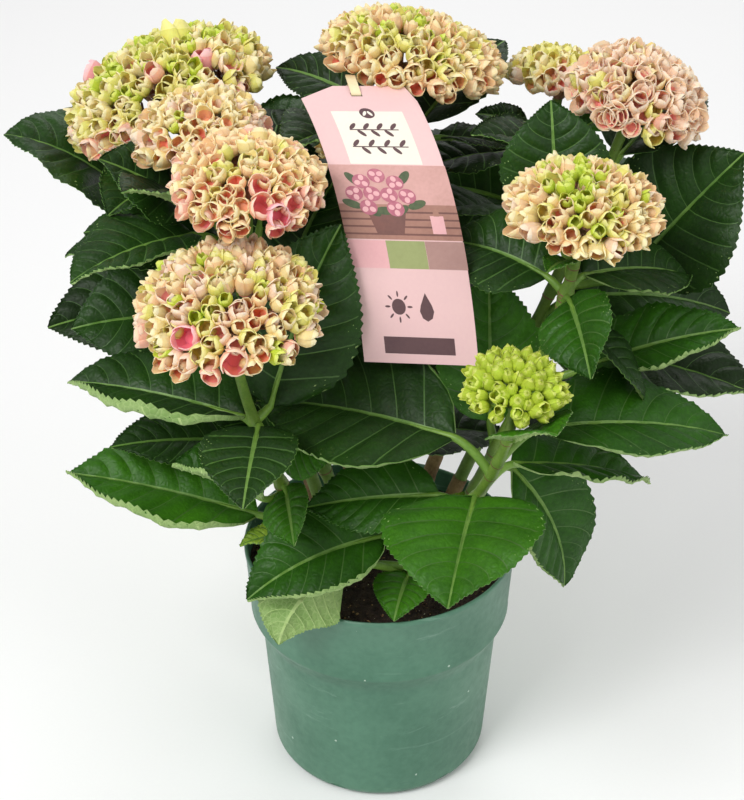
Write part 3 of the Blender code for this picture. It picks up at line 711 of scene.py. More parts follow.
LEAVES = {
    "front": (
        Leaf(0.72, 165, -2, 102, roll=-20, ratio=0.74, droop=15, curl=(-1, 0.80, 130),
             curl_too=(1, 0.92, 90)),
        Leaf(0.78, 16, -2, 96, roll=8, ratio=0.62, droop=20, tint=MID, curl=(-1, 0.93, 80)),
        Leaf(0.24, 199, 3, 74, roll=-30, ratio=0.71, droop=36, stalk=28, tint=MID, curl=(1, 0.82, 140)),
        Leaf(0.60, 268, 10, 74, roll=8, ratio=1.05, droop=22, stalk=6, tint=BRIGHT),
        Leaf(0.59, 24, -13, 83, roll=3, ratio=0.50, droop=18, tint=MID, curl=(-1, 0.90, 100)),
        Leaf(0.51, 170, -7, 66, roll=-30, ratio=0.60, droop=12, stalk=15, tint=MID),
        Leaf(0.88, 300, 45, 38, ratio=1.10, droop=20, stalk=7, tint=BRIGHT),
        Leaf(0.10, 215.2, 5.7, 51.5, roll=119.5, ratio=0.91, droop=82, stalk=45.8, lift=29.7, tint=MID),
        Leaf(0.12, 255, 10, 32, ratio=0.90, droop=40, stalk=8, tint=BRIGHT),
        Leaf(0.12, 330, 10, 26, ratio=0.90, droop=40, stalk=8, tint=BRIGHT),
    ),
    "front_left": (
        Leaf(0.60, 164, 11, 88, roll=-4, ratio=0.74, droop=15, stalk=18, lift=60, curl=(1, 0.74, 140)),
        Leaf(0.70, 38, 72, 93, roll=53, ratio=0.64, droop=17, stalk=10, lift=26),
        Leaf(0.41, 237, 26, 46, ratio=1.14, droop=5, stalk=20, lift=26, fold=24, veer=-60, tint=MID, cup=34,
             curl=(1, 0.90, 90)),
        Leaf(0.25, 174, 16, 96, roll=-12, ratio=0.68, droop=8, lift=20, tint=BRIGHT, curl=(1, 0.80, 130)),
        Leaf(0.56, 345, 12, 30, roll=65, ratio=0.95, droop=10, stalk=6, lift=60, tint=BRIGHT),
    ),
    "right": (
        Leaf(0.40, 115, 87, 83, roll=-20, ratio=0.62, droop=4, stalk=14, lift=64, tint=BRIGHT),
        Leaf(0.84, 160, 15, 52, roll=-25, ratio=0.95, droop=30, stalk=12),
        Leaf(0.85, 29, -3, 64, roll=11, ratio=0.85, droop=22, stalk=11, curl=(-1, 0.94, 70)),
        Leaf(0.56, 354, 27, 74, roll=21, ratio=0.54, droop=20, stalk=33, lift=30, tint=MID,
             curl=(-1, 0.84, 125)),
        Leaf(0.74, 330, -30, 52, roll=-20, droop=40, stalk=12),
        Leaf(0.28, 348, -43, 77, roll=31, ratio=0.70, droop=47, tint=MID, curl=(-1, 0.88, 110)),
        Leaf(0.82, 278, -3, 47, roll=38, stalk=12, tint=MID),
        Leaf(0.90, 101, 78, 54, roll=-9, ratio=0.94, droop=12, stalk=33, lift=25),
    ),
    "mid_left": (
        Leaf(0.83, 194, 46, 52, roll=-27, ratio=0.94, droop=20, stalk=17),
        Leaf(0.67, 164, 18, 72, roll=-10, ratio=0.78, droop=27, stalk=22, lift=60),
        Leaf(0.55, 198, 23, 78, roll=-32, ratio=0.85, droop=30),
        Leaf(0.31, 197, 16, 66, roll=-15, ratio=0.60, droop=12, stalk=31, lift=17),
    ),
    "back_left": (
        Leaf(0.91, 181.7, 54.1, 78.8, roll=-5.2, ratio=1.02, droop=39.9, stalk=37.3, lift=-28.5),
        Leaf(0.51, 198, 20, 91, roll=-32, ratio=0.77, tint=DEEP),
    ),
    "back_right": (
        Leaf(0.62, 355, 56, 82, roll=50, ratio=0.92, droop=4, stalk=40, lift=20),
        Leaf(0.54, 8, 5, 85, roll=26, ratio=0.73, droop=30),
    ),
    "back": (
        Leaf(0.90, 150, 15, 56, roll=-20, ratio=0.60, droop=20, tint=DEEP),
        Leaf(0.83, 16, -5, 44, roll=3, ratio=0.49, stalk=28, lift=33, tint=DEEP),
        Leaf(0.91, 300, -10, 30, ratio=0.60, droop=50, stalk=8),
    ),
    "far_right": (
        Leaf(0.88, 150, 20, 30, roll=-20, ratio=0.60, droop=30, stalk=15),
        Leaf(0.72, 165, 15, 60, roll=-40, ratio=0.90, droop=30, stalk=14),
    ),
    "centre": (
        Leaf(0.72, 55, 55, 60, roll=10, droop=30),
        Leaf(0.55, 20, -5, 75, roll=30),
    ),
    "rear_left": (
        Leaf(0.80, 75, 10, 70, droop=30, stalk=16, tint=MID),
        Leaf(0.80, 215, 15, 66, droop=30, stalk=16, tint=MID),
    ),
}


SPROUTS = {  # the small late leaves that the solids leave out
    "front_left": (
        Leaf(0.61, 262.6, -12.2, 44.3, roll=3.9, ratio=1.05, droop=15.7, stalk=22.2, lift=57, cup=16),
        Leaf(0.36, 20, 50, 37, roll=66, ratio=1.08, droop=22, stalk=31, lift=112, tint=MID,
             curl=(1, 0.92, 60)),
        Leaf(0.44, 279, -4, 34, roll=40, ratio=0.79, stalk=8, lift=33, tint=BRIGHT),
        Leaf(0.46, 128, 16, 43, roll=-27, ratio=0.60, droop=3, stalk=27, lift=48),
        Leaf(0.20, 200, 20, 30, ratio=0.60, droop=30, stalk=8, tint=YOUNG),
        Leaf(0.30, 300, 30, 22, ratio=0.55, droop=30, stalk=6, tint=YOUNG),
    ),
    "front": (
        Leaf(0.15, 185, 32, 34, roll=-40, ratio=0.78, droop=38, stalk=38, lift=17, tint=BRIGHT),
        Leaf(0.40, 250, 40, 20, ratio=0.50, droop=20, stalk=5, tint=YOUNG),
        Leaf(0.33, 60, 40, 24, ratio=0.55, droop=20, stalk=6, tint=YOUNG),
    ),
    "right": (
        Leaf(0.62, 250, 40, 26, ratio=0.60, droop=20, stalk=8, tint=BRIGHT),
        Leaf(0.93, 240, 30, 24, ratio=0.60, droop=30, stalk=8, tint=BRIGHT),
    ),
    "mid_left": (Leaf(0.90, 300, 20, 28, ratio=0.60, droop=30, stalk=10, tint=BRIGHT),),
    "back_left": (Leaf(0.60, 250, 30, 34, ratio=0.60, droop=30, stalk=12, tint=MID),),
    "back": (Leaf(0.75, 90, 20, 40, ratio=0.60, droop=30, stalk=14, tint=MID),),
    "back_right": (Leaf(0.75, 200, 20, 34, ratio=0.60, droop=30, stalk=12, tint=MID),),
    "rear_left": (Leaf(0.60, 120, 30, 34, ratio=0.60, droop=30, stalk=12, tint=BRIGHT),),
}


@dataclass(frozen=True)
class BladeForm:
    """The shape that every blade shares."""

    skew: float = 0.80  # under 1 the widest place lies nearer the foot
    fullness: float = 0.78  # the smaller, the fuller towards both ends
    point: float = 0.30  # how much the tip is drawn in
    tip_half: float = 1.2 * MM
    thickness: float = 0.0125  # of the solids' blades, as a share of their length
    lines: tuple[float, ...] = (0.0, 0.14, 0.40, 0.72, 1.0)  # where the solids' blades have points
    hold: float = 0.13  # where the solids' petiole ends on the midrib

    def swell(self, along: np.ndarray) -> np.ndarray:
        """Half-width of a blade at shares of its length, 1 at the widest.

        Args:
            along: Shares of the length.

        Returns:
            The half-widths.
        """
        along = np.clip(along, 0.0, 1.0)
        arch = np.maximum(np.sin(np.pi * along**self.skew), 0.0) ** self.fullness
        return arch * (1 - self.point * along**6)


class Blade:
    """The middle line and the cross directions of one leaf's blade."""

    form = BladeForm()

    def __init__(self, shoot: Shoot, leaf: Leaf, twist: float = 0.0, tip_bend: float = 0.0) -> None:
        """Places a blade on its shoot.

        Args:
            shoot: The shoot that bears the leaf.
            leaf: The leaf.
            twist: Degrees that the blade turns about its midrib from base to tip.
            tip_bend: Degrees that the tip bends down more than the rest.
        """
        self.leaf = leaf
        self.length = leaf.length * MM
        self.root = shoot.point(leaf.at)
        self.base = self.root + heading(leaf.turn, leaf.lift) * leaf.stalk * MM
        self.ahead = np.array(heading(leaf.turn + leaf.veer, 0))
        self.twist = math.radians(twist)
        self.tip_bend = math.radians(tip_bend)

    def half_width(self, along: np.ndarray, least: float) -> np.ndarray:
        """Half-width in metres at shares of the length, never under the least."""
        return np.maximum(self.length * self.leaf.ratio / 2 * self.form.swell(along), least)

    def spine(self, along: np.ndarray) -> tuple[np.ndarray, np.ndarray, np.ndarray]:
        """Middle line, side and normal directions at shares of the length.

        Args:
            along: Shares of the length, in any shape.

        Returns:
            Points, side directions and normals with one more axis of three.
        """
        leaf = self.leaf
        rise, bend = math.radians(leaf.rise), math.radians(leaf.droop)
        slope = rise - bend * along
        out = (math.sin(rise) - np.sin(slope)) / bend * self.length
        up = (np.cos(slope) - math.cos(rise)) / bend * self.length
        extra = self.tip_bend * along**4
        up = up - np.sin(extra) * self.length / 4
        slope = slope - extra
        ahead = self.ahead
        normal = -np.multiply.outer(np.sin(slope), ahead)
        normal[..., 2] += np.cos(slope)
        side = np.broadcast_to(np.array((-ahead[1], ahead[0], 0.0)), normal.shape)
        roll = (math.radians(leaf.roll) + self.twist * along)[..., None]
        turned = side * np.cos(roll) + normal * np.sin(roll)
        raised = normal * np.cos(roll) - side * np.sin(roll)
        middle = np.array(self.base) + np.multiply.outer(out, ahead)
        middle[..., 2] += up
        return middle, turned, raised

    def coarse(self) -> bmesh.types.BMesh:
        """The blade as the solids have it, for keeping leaves clear of each other.

        Returns:
            A closed bmesh.
        """
        along = np.array(self.form.lines)
        middle, side, normal = self.spine(along)
        half = self.half_width(along, self.form.tip_half)[:, None]
        fold = math.radians(self.leaf.fold)
        thickness = self.form.thickness * self.length
        bm = bmesh.new()
        layers = []
        for sign in (0.5, -0.5):
            columns = []
            for across in (-1, 0, 1):
                offset = side * across * half * math.cos(fold * abs(across))
                offset = offset + normal * abs(across) * half * math.sin(fold * abs(across))
                columns.append(middle + offset + normal * sign * thickness)
            layers.append([[bm.verts.new(columns[j][i]) for j in range(3)] for i in range(len(along))])
        bridge_sheets(bm, *layers)
        return bm

    def petiole_rod(self) -> bmesh.types.BMesh:
        """The petiole as the solids have it.

        Returns:
            A closed bmesh.
        """
        end = Vector(self.spine(np.array(self.form.hold))[0])
        way = end - self.root
        bm = bmesh.new()
        bmesh.ops.create_cone(bm, cap_ends=True, segments=3, radius1=2.0 * MM, radius2=1.5 * MM,
                              depth=way.length, matrix=facing_z(way, (self.root + end) / 2))
        return bm


def bridge_sheets(bm: bmesh.types.BMesh, top: list, bottom: list) -> None:
    """Faces over two matching grids of vertices and a rim that joins them.

    Args:
        bm: Where the faces go.
        top: Rows of vertices.
        bottom: The rows under them.
    """
    for row, next_row, under, next_under in zip(top, top[1:], bottom, bottom[1:]):
        for i in range(len(row) - 1):
            bm.faces.new((row[i], row[i + 1], next_row[i + 1], next_row[i]))
            bm.faces.new((under[i], next_under[i], next_under[i + 1], under[i + 1]))
        bm.faces.new((row[0], next_row[0], next_under[0], under[0]))
        bm.faces.new((row[-1], under[-1], next_under[-1], next_row[-1]))
    for i in range(len(top[0]) - 1):
        bm.faces.new((top[0][i], bottom[0][i], bottom[0][i + 1], top[0][i + 1]))
        bm.faces.new((top[-1][i], top[-1][i + 1], bottom[-1][i + 1], bottom[-1][i]))
    bmesh.ops.recalc_face_normals(bm, faces=bm.faces)


class Crown:
    """Grows the leaves by the solids' own rule, each where it finds room."""

    FILL_PAIRS = ((0.86, 66, 30), (0.30, 104, 12), (0.68, 92, 20), (0.45, 104, 10), (0.77, 80, 24),
                  (0.20, 84, 14), (0.57, 98, 14))  # place on the shoot, length in mm and rise in degrees
    FILL_FRONT = -42 * MM  # filling leaves stay behind this
    FILL_FRONT_FLOOR = 165 * MM
    FILL_FLOOR = SOIL_HEIGHT + 6 * MM
    MOST_LEAVES = 70
    RADIUS = 193 * MM
    PLAN_RADIUS = 200 * MM
    FLOOR = 100 * MM
    CLEARANCE = 0.7 * MM
    # degrees of turn and rise, and share of the length
    SIDESTEPS = ((0, 0, 1.0), (6, 0, 1.0), (-6, 0, 1.0), (0, 8, 1.0), (0, -8, 1.0), (10, 6, 1.0),
                 (-10, 6, 1.0), (10, -6, 0.95), (-10, -6, 0.95), (0, 14, 0.95), (0, -14, 0.95),
                 (16, 0, 0.9), (-16, 0, 0.9), (12, 14, 0.9), (-12, 14, 0.9), (12, -14, 0.85),
                 (-12, -14, 0.85), (0, 22, 0.85), (0, -22, 0.8), (24, 8, 0.8), (-24, 8, 0.8),
                 (24, -10, 0.75), (-24, -10, 0.75))

    def __init__(self) -> None:
        """Starts with the pot, label, canes, stems and heads in place."""
        self.placed: list[tuple[str, BVHTree]] = []
        for name in ("pot", "potting_soil", "label_card", "label_strap"):
            self._add_node(name, name)
        for name, shoot in SHOOTS.items():
            self._add_node("stem_" + name, "cane_" + name)
            self._add_stem("stem_" + name, shoot)
            self._add_head("head_" + name, shoot)

    def _add_node(self, owner: str, node: str) -> None:
        """Adds a CAD node as an obstacle.

        Args:
            owner: What the obstacle belongs to.
            node: The node's name.
        """
        bm = bmesh.new()
        bm.from_mesh(frame["nodes"][node].data)
        self.placed.append((owner, BVHTree.FromBMesh(bm)))
        bm.free()

    def _add_stem(self, owner: str, shoot: Shoot) -> None:
        """Adds a shoot's leafy stem as an obstacle.

        Args:
            owner: What the obstacle belongs to.
            shoot: The shoot.
        """
        path = shoot.path(shoot.cane, STEM_END, 7)
        points, faces = tube_grid(path, np.linspace(3.6, 2.3, 7) * MM, 8)
        self.placed.append((owner, BVHTree.FromPolygons([Vector(p) for p in points], faces)))

    def _add_head(self, owner: str, shoot: Shoot) -> None:
        """Adds the space of a flower head as an obstacle.

        Args:
            owner: What the obstacle belongs to.
            shoot: The shoot that bears it.
        """
        centre, side, other, axis = shoot.head_frame()
        radius = shoot.width * MM / 2
        bm = bmesh.new()
        bmesh.ops.create_icosphere(bm, subdivisions=2, radius=1.0)
        for vert in bm.verts:
            x, y, z = vert.co
            flat = shoot.dome if z > 0 else HEAD_BELLY
            vert.co = centre + (side * x + other * y + axis * z * flat) * radius
        self.placed.append((owner, BVHTree.FromBMesh(bm)))
        bm.free()

    def _clear(self, bm: bmesh.types.BMesh, ignored: Optional[str] = None) -> bool:
        """Whether a shape touches nothing that has been placed."""
        tree = BVHTree.FromBMesh(bm, epsilon=self.CLEARANCE)
        return not any(owner != ignored and tree.overlap(other) for owner, other in self.placed)

    def _holds(self, bm: bmesh.types.BMesh, filling: bool) -> bool:
        """Whether a blade stays within the crown, and a filling leaf behind its front.

        Args:
            bm: The blade.
            filling: Whether its leaf is a filling one.

        Returns:
            True where it does.
        """
        for vert in bm.verts:
            x, y, z = vert.co
            if math.hypot(x, y) > (self.RADIUS if filling else self.PLAN_RADIUS) or z < self.FLOOR:
                return False
            floor = self.FILL_FRONT_FLOOR if y < 0 else self.FILL_FLOOR
            if filling and (y < self.FILL_FRONT or z < floor):
                return False
        return True

    def place(self, name: str, wanted: Leaf, filling: bool = False) -> Optional[Leaf]:
        """Finds room for a leaf by small changes.

        Args:
            name: The shoot's name.
            wanted: The leaf as planned.
            filling: Whether it is one of the leaves that fill the crown.

        Returns:
            The leaf as placed, or None where there is no room.
        """
        shoot = SHOOTS[name]
        for turn, rise, share in self.SIDESTEPS:
            leaf = replace(wanted, turn=wanted.turn + turn, rise=wanted.rise + rise,
                           length=wanted.length * share)
            blade = Blade(shoot, leaf)
            sheet, rod = blade.coarse(), blade.petiole_rod()
            fits = self._holds(sheet, filling) and self._clear(sheet) and self._clear(rod, "stem_" + name)
            if fits:
                self.placed.append(("leaf_" + name, BVHTree.FromBMesh(sheet)))
                self.placed.append(("stem_" + name, BVHTree.FromBMesh(rod)))
            sheet.free()
            rod.free()
            if fits:
                return leaf
        return None

    @staticmethod
    def loosen(leaf: Leaf, rng: random.Random) -> Leaf:
        """Gives a filling leaf its own green and a looser edge."""
        tint = rng.choice((DEEP, DEEP, DARK, DARK, MID))
        return replace(leaf, tint=tint, curl=(rng.choice((-1, 1)), 0.93, rng.choice((0, 50, 75))))

    def grow(self) -> dict[str, list[Leaf]]:
        """Places every leaf: those of the plan, then filling pairs in turn from shoot to shoot.

        Returns:
            Each shoot's leaves by its name.
        """
        placed: dict[str, list] = {name: [] for name in SHOOTS}
        for name, leaves in LEAVES.items():
            for leaf in leaves:
                placed[name].append(self.place(name, leaf))
        rng, looks = random.Random(11), random.Random(5)
        starts = {name: rng.uniform(0, 90) for name in SHOOTS}
        count = sum(leaf is not None for leaves in placed.values() for leaf in leaves)
        for level, (at, length, rise) in enumerate(self.FILL_PAIRS):
            for name in SHOOTS:
                for side in (0, 180):
                    turn = starts[name] + 90 * level + side + rng.uniform(-14, 14)
                    leaf = Leaf(at + rng.uniform(-0.03, 0.03), turn, rise + rng.uniform(-6, 6), length)
                    if count < self.MOST_LEAVES:
                        found = self.place(name, leaf, filling=True)
                        placed[name].append(found and self.loosen(found, looks))
                        count += found is not None
        for name, leaves in SPROUTS.items():
            for leaf in leaves:
                placed[name].append(self.place(name, leaf))
        LOG.info("%d leaves placed", sum(leaf is not None for leaves in placed.values() for leaf in leaves))
        return {name: [leaf for leaf in leaves if leaf] for name, leaves in placed.items()}


# ------------------------------------------------------------------------------------------------- foliage


@dataclass
class LeafSculptor:
    """Turns placed leaves into veined, toothed and quilted blades with their petioles."""

    intervals: int = 8  # spaces between side veins on each half
    spacing: float = 0.92  # under 1 the spaces are wider near the foot
    teeth: int = 3  # in each space
    vein_reach: float = 0.26  # how far a side vein runs towards the tip
    vein_half: float = 0.32 * MM
    vein_ridge: float = 0.45 * MM  # how far a side vein stands out below
    rib_ridges: tuple[float, float] = (1.3 * MM, 0.5 * MM)  # the same of the midrib and of its shoulders
    rib_half: float = 1.0 * MM
    groove: float = 0.9 * MM  # how deep the midrib lies in the upper side
    groove_half: float = 2.2 * MM
    quilt: float = 1.5 * MM
    quilt_half: float = 14 * MM  # half-width over which the quilting is at its full height
    grain: float = 0.35 * MM
    tooth: float = 1.4 * MM
    usual: float = 90 * MM  # length of a blade whose waves, quilting and teeth have the sizes above
    flatten: float = 16  # degrees that each half flattens towards its edge
    thickness: float = 0.5 * MM
    columns: tuple[float, ...] = (0.0, 0.035, 0.15, 0.29, 0.44, 0.58, 0.70, 0.78, 0.85, 0.91, 0.96, 1.0)
    slots: tuple[Finish, ...] = (LEAF_DEEP, LEAF_DARK, LEAF_MID, LEAF_BRIGHT, LEAF_YOUNG, LEAF_VEIN, LEAF_RIB,
                                 LEAF_EDGE, LEAF_UNDER, LEAF_UNDER_RIB)  # the first five in Tint's order

    def rows(self, length: float) -> tuple[np.ndarray, np.ndarray, np.ndarray]:
        """The lines that cross a half-blade, each along the run of the side veins.

        Args:
            length: The blade's length in metres.

        Returns:
            Each line's place on the midrib, its share of the space between veins and whether it bounds one.
        """
        places, shares, veins = [0.0], [0.0], [False]
        inner = [k / (2 * self.teeth) for k in range(1, 2 * self.teeth)]
        edges = np.linspace(0.0, 1.0, self.intervals + 1) ** self.spacing
        for low, high in zip(edges, edges[1:]):
            for share in inner:
                places.append(low + (high - low) * share)
                shares.append(share)
                veins.append(False)
            if high < 1:
                narrow = self.vein_half / length * (1.2 - high)
                places += [high - narrow, high + narrow]
                shares += [0.0, 0.0]
                veins += [True, True]
        places.append(1.0)
        shares.append(0.0)
        veins.append(False)
        return np.array(places), np.array(shares), np.array(veins)

    def profile(self, leaf: Leaf, side: int) -> tuple[np.ndarray, np.ndarray, np.ndarray]:
        """The section of a half-blade, from the midrib to the edge.

        Args:
            leaf: The leaf.
            side: Which half, 1 or -1.

        Returns:
            Distance out, height and surface angle at each column, for a half-width of 1.
        """
        share = np.array(self.columns)
        angle = np.radians(leaf.fold + self.flatten / 4 - self.flatten * share**1.5 + leaf.cup * share)
        for curled, flat, turn in (leaf.curl, leaf.curl_too):
            if curled == side:
                angle = angle + np.radians(turn) * np.clip((share - flat) / (1 - flat), 0, 1) ** 0.8
        middle = (angle[1:] + angle[:-1]) / 2
        steps = np.diff(share)
        out = np.concatenate([[0.0], np.cumsum(np.cos(middle) * steps)])
        rise = np.concatenate([[0.0], np.cumsum(np.sin(middle) * steps)])
        return out, rise, angle

    def grid(self, blade: Blade, seed: int) -> tuple[np.ndarray, np.ndarray]:
        """The upper and lower surface points of a blade.

        Args:
            blade: The blade's middle line.
            seed: Fixes its own waves.

        Returns:
            Two arrays of rows by columns by three.
        """
        rng = random.Random(seed)
        length = blade.length
        size = length / self.usual
        places, shares, veins = self.rows(length)
        reach = self.vein_reach * np.maximum(np.sin(np.pi * places), 0.0) ** 0.8 * (1 - 0.35 * places)
        wave = rng.uniform(0.5, 1.6) * MM * size
        swings = rng.uniform(2.2, 3.6)
        phase = rng.uniform(0, 2 * math.pi)
        upper, lower = [], []
        columns = np.array(self.columns)
        for side in (-1, 1):
            out, rise, angle = self.profile(blade.leaf, side)
            along = places[:, None] + reach[:, None] * columns[None, :] ** 1.2
            saw = np.abs((shares * self.teeth) % 1.0 - 0.5) * 2
            fade = np.clip((along[:, -1] - 0.10) / 0.12, 0, 1) * np.clip((1.0 - along[:, -1]) / 0.05, 0, 1)
            along = np.clip(along, 0.0, 1.0)
            along[:, -1] = np.clip(along[:, -1] + saw * fade * 0.010, 0, 1)
            half = blade.half_width(along, 0.5 * MM)
            across = half * out[None, :]
            across[:, 1] = np.minimum(self.rib_half * (1.15 - along[:, 1]), across[:, 2] * 0.5)
            edge = self.tooth * size * saw * fade
            across[:, -1] += edge * math.cos(angle[-1])
            height = half * rise[None, :]
            height[:, -1] += edge * math.sin(angle[-1])
            arch = 1 - (2 * shares - 1) ** 2
            puff = self.quilt * size * np.outer(arch, np.sin(np.pi * np.clip(columns * 1.02, 0, 1)) ** 0.8)
            puff *= np.clip(half / self.quilt_half, 0, 1)
            grain = self.grain * np.sin(along * 90 + columns * 31 + phase * side)
            swing = np.sin(swings * 2 * math.pi * along + phase * side)
            height = height + wave * swing * columns[None, :] ** 2
            groove = -self.groove * np.exp(-((columns * half / self.groove_half) ** 2))
            middle, lateral, normal = blade.spine(along)
            bulge = (puff + groove + grain * columns)[..., None]
            local = normal * np.cos(angle)[None, :, None] - lateral * side * np.sin(angle)[None, :, None]
            surface = middle + lateral * side * across[..., None] + normal * height[..., None] + local * bulge
            thick = np.full(along.shape, self.thickness * 0.8)
            thick[veins] += self.vein_ridge * (1 - 0.7 * columns)
            for column, ridge in enumerate(self.rib_ridges):
                thick[:, column] += ridge * (1.05 - along[:, column])
            thick[:, -1] = self.thickness * 0.6
            upper.append(surface)
            lower.append(surface - local * thick[..., None])
        top = np.concatenate([upper[0][:, ::-1], upper[1][:, 1:]], axis=1)
        bottom = np.concatenate([lower[0][:, ::-1], lower[1][:, 1:]], axis=1)
        return top, bottom

    def add_blade(self, store: MeshStore, blade: Blade, seed: int) -> None:
        """Adds one closed blade to a store, its veins and rib as faces of their own.

        Args:
            store: Where it goes.
            blade: The blade.
            seed: Fixes its own waves.
        """
        top, bottom = self.grid(blade, seed)
        rows, cols = top.shape[:2]
        veins = self.rows(blade.length)[2]
        vein, rib, edge, below, rib_below = (self.slots.index(finish) for finish in (
            LEAF_VEIN, LEAF_RIB, LEAF_EDGE, LEAF_UNDER, LEAF_UNDER_RIB))
        number = np.arange(rows * cols).reshape(rows, cols)
        a, b, c, d = number[:-1, :-1], number[:-1, 1:], number[1:, 1:], number[1:, :-1]
        quads = np.stack([a, b, c, d], axis=-1).reshape(-1, 4)
        half = len(self.columns) - 1
        column = np.arange(cols - 1)
        on_rib = (column == half) | (column == half - 1)
        on_edge = (column < 1) | (column >= cols - 2)
        on_vein = (veins[:-1] & veins[1:])[:, None] & ~on_rib[None, :] & ~on_edge[None, :]
        face = np.full((rows - 1, cols - 1), blade.leaf.tint.value)
        face[on_vein] = vein
        face[:, on_rib] = rib
        under = np.full((rows - 1, cols - 1), below)
        under[on_vein] = rib_below
        under[:, on_rib] = rib_below
        total = rows * cols
        loop = [*number[:, 0], *number[-1, 1:], *number[-2::-1, -1], *number[0, -2:0:-1]]
        after = loop[1:] + loop[:1]
        rim = [(first, second, second + total, first + total) for first, second in zip(loop, after)]
        faces = quads.tolist() + (quads[:, ::-1] + total).tolist() + rim
        slots = face.reshape(-1).tolist() + under.reshape(-1).tolist() + [edge] * len(rim)
        points = np.concatenate([top.reshape(-1, 3), bottom.reshape(-1, 3)])
        store.add(points, faces, slots)

    def add_petiole(self, store: MeshStore, blade: Blade) -> None:
        """Adds a leaf's stalk, channelled into the midrib's underside.

        Args:
            store: Where it goes.
            blade: The leaf's blade.
        """
        start, _, normal = blade.spine(np.array(0.02))
        inward = Vector(start) - Vector(blade.spine(np.array(0.10))[0])
        end = Vector(start) - Vector(normal) * 0.9 * MM
        reach = (end - blade.root).length
        out = heading(blade.leaf.turn, min(blade.leaf.lift + 12, 80))
        controls = (blade.root, blade.root + out * reach * 0.35, end + inward.normalized() * reach * 0.3, end)
        further, _, lift = blade.spine(np.array((0.10, 0.22)))
        path = np.concatenate([bezier(controls, 12), further - lift * 1.1 * MM])
        scale = 0.75 + 0.25 * min(blade.leaf.length / 90, 1.0)
        radii = np.concatenate([np.linspace(2.6, 1.75, 12), [1.2, 0.5]]) * MM * scale
        radii[0] *= 1.25
        store.tube(path, radii, 8, 1)


@dataclass
class Foliage:
    """All shoots' leaves, petioles and green stems."""

    palette: Palette
    sculptor: LeafSculptor = field(default_factory=LeafSculptor)

    def build(self, grown: dict[str, list[Leaf]]) -> None:
        """Builds and dresses every shoot's leaves and stem.

        Args:
            grown: Each shoot's leaves by its name.
        """
        rng = random.Random(5)
        for name, leaves in grown.items():
            shoot = SHOOTS[name]
            blades, stems = MeshStore(), MeshStore()
            for leaf in leaves:
                blade = Blade(shoot, leaf, twist=rng.uniform(-5, 5), tip_bend=rng.uniform(0, 8))
                self.sculptor.add_blade(blades, blade, rng.randrange(10**6))
                self.sculptor.add_petiole(stems, blade)
            self.add_stem(stems, shoot, leaves)
            piece = blades.to_object("leaf_blades_" + name, self.palette.all(self.sculptor.slots), 60)
            dress(piece, "leaf_green", "leaves_" + name)
            finishes = self.palette.all((STEM_GREEN, PETIOLE_GREEN, NODE_SCAR))
            piece = stems.to_object("green_stem_" + name, finishes, 70)
            dress(piece, "leaf_green", "leaves_" + name)

    @staticmethod
    def add_stem(store: MeshStore, shoot: Shoot, leaves: list[Leaf]) -> None:
        """Adds the leafy stem with a swollen, scarred node at each leaf.

        Args:
            store: Where it goes.
            shoot: The shoot.
            leaves: Its leaves.
        """
        steps = 64
        node, node_half = 0.55 * MM, 0.016  # how far a node swells, and over which share of the shoot
        shares = np.linspace(shoot.cane, STEM_END + 0.02, steps)
        path = shoot.path(shares[0], shares[-1], steps)
        radii = np.linspace(3.5, 2.3, steps) * MM
        for leaf in leaves:
            radii += node * np.exp(-(((shares - leaf.at) / node_half) ** 2))
        for ring in range(steps):
            radii[ring] *= 1 + 0.05 * noise.noise(Vector(path[ring]) * 180)
        store.tube(path, radii, 12, 0)
        for leaf in leaves:
            low = shoot.path(leaf.at - 0.012, leaf.at - 0.006, 3)
            ring = np.interp(leaf.at - 0.009, shares, radii)
            store.tube(low, np.array((0.96, 1.05, 0.96)) * ring, 12, 2)


@dataclass
class Canes:
    """The woody feet of the shoots, with cracked bark."""

    palette: Palette

    def build(self) -> None:
        """Builds and dresses one barked cane for each shoot."""
        for name, shoot in SHOOTS.items():
            store = MeshStore()
            steps, sides = 40, 16
            path = shoot.path(0.0, shoot.cane + 0.01, steps)
            path[0][2] += 0.4 * MM
            height = np.linspace(0, 1, steps)
            radii = (4.1 - 0.4 * height + 1.5 * np.exp(-height * 9)) * MM
            points, faces = tube_grid(path, radii, sides)
            for number, point in enumerate(points):
                crack = noise.noise(Vector((point[0] * 700, point[1] * 700, point[2] * 160)))
                points[number] = point + (point - path[number // sides]) * 0.10 * crack
            store.add(points, faces, [0] * len(faces))
            piece = store.to_object("bark_" + name, self.palette.all((BARK,)), 60)
            dress(piece, "cane_bark", "cane_" + name)


# ------------------------------------------------------------------------------------------- flower heads


class Bloom(Enum):
    """The kinds of floret, by the colour of their sepals."""

    CREAM = "cream"
    PEACH = "peach"
    ROSE = "rose"
    LIME = "lime"
    STRAW = "straw"
    BLUSH = "blush"
    PINK = "pink"


class Cup(Enum):
    """How far a floret is open.

    Height, radius at the belly and the belly's place, radius of the mouth, a sepal's half-turn in degrees,
    its width at the tip and the cup's lean.
    """

    BUD = (1.22, 0.46, 0.40, 0.02, 60, 0.16, 0.05)
    EGG = (1.06, 0.50, 0.50, 0.30, 58, 0.34, 0.14)
    BOWL = (0.92, 0.50, 0.64, 0.42, 60, 0.48, 0.16)
    TULIP = (1.24, 0.47, 0.50, 0.33, 60, 0.30, 0.12)
    OPEN = (0.84, 0.56, 0.82, 0.56, 60, 0.46, 0.20)


CREAM, PEACH, ROSE, LIME, STRAW, BLUSH, PINK = Bloom
BUD, EGG, BOWL, TULIP, OPEN = Cup


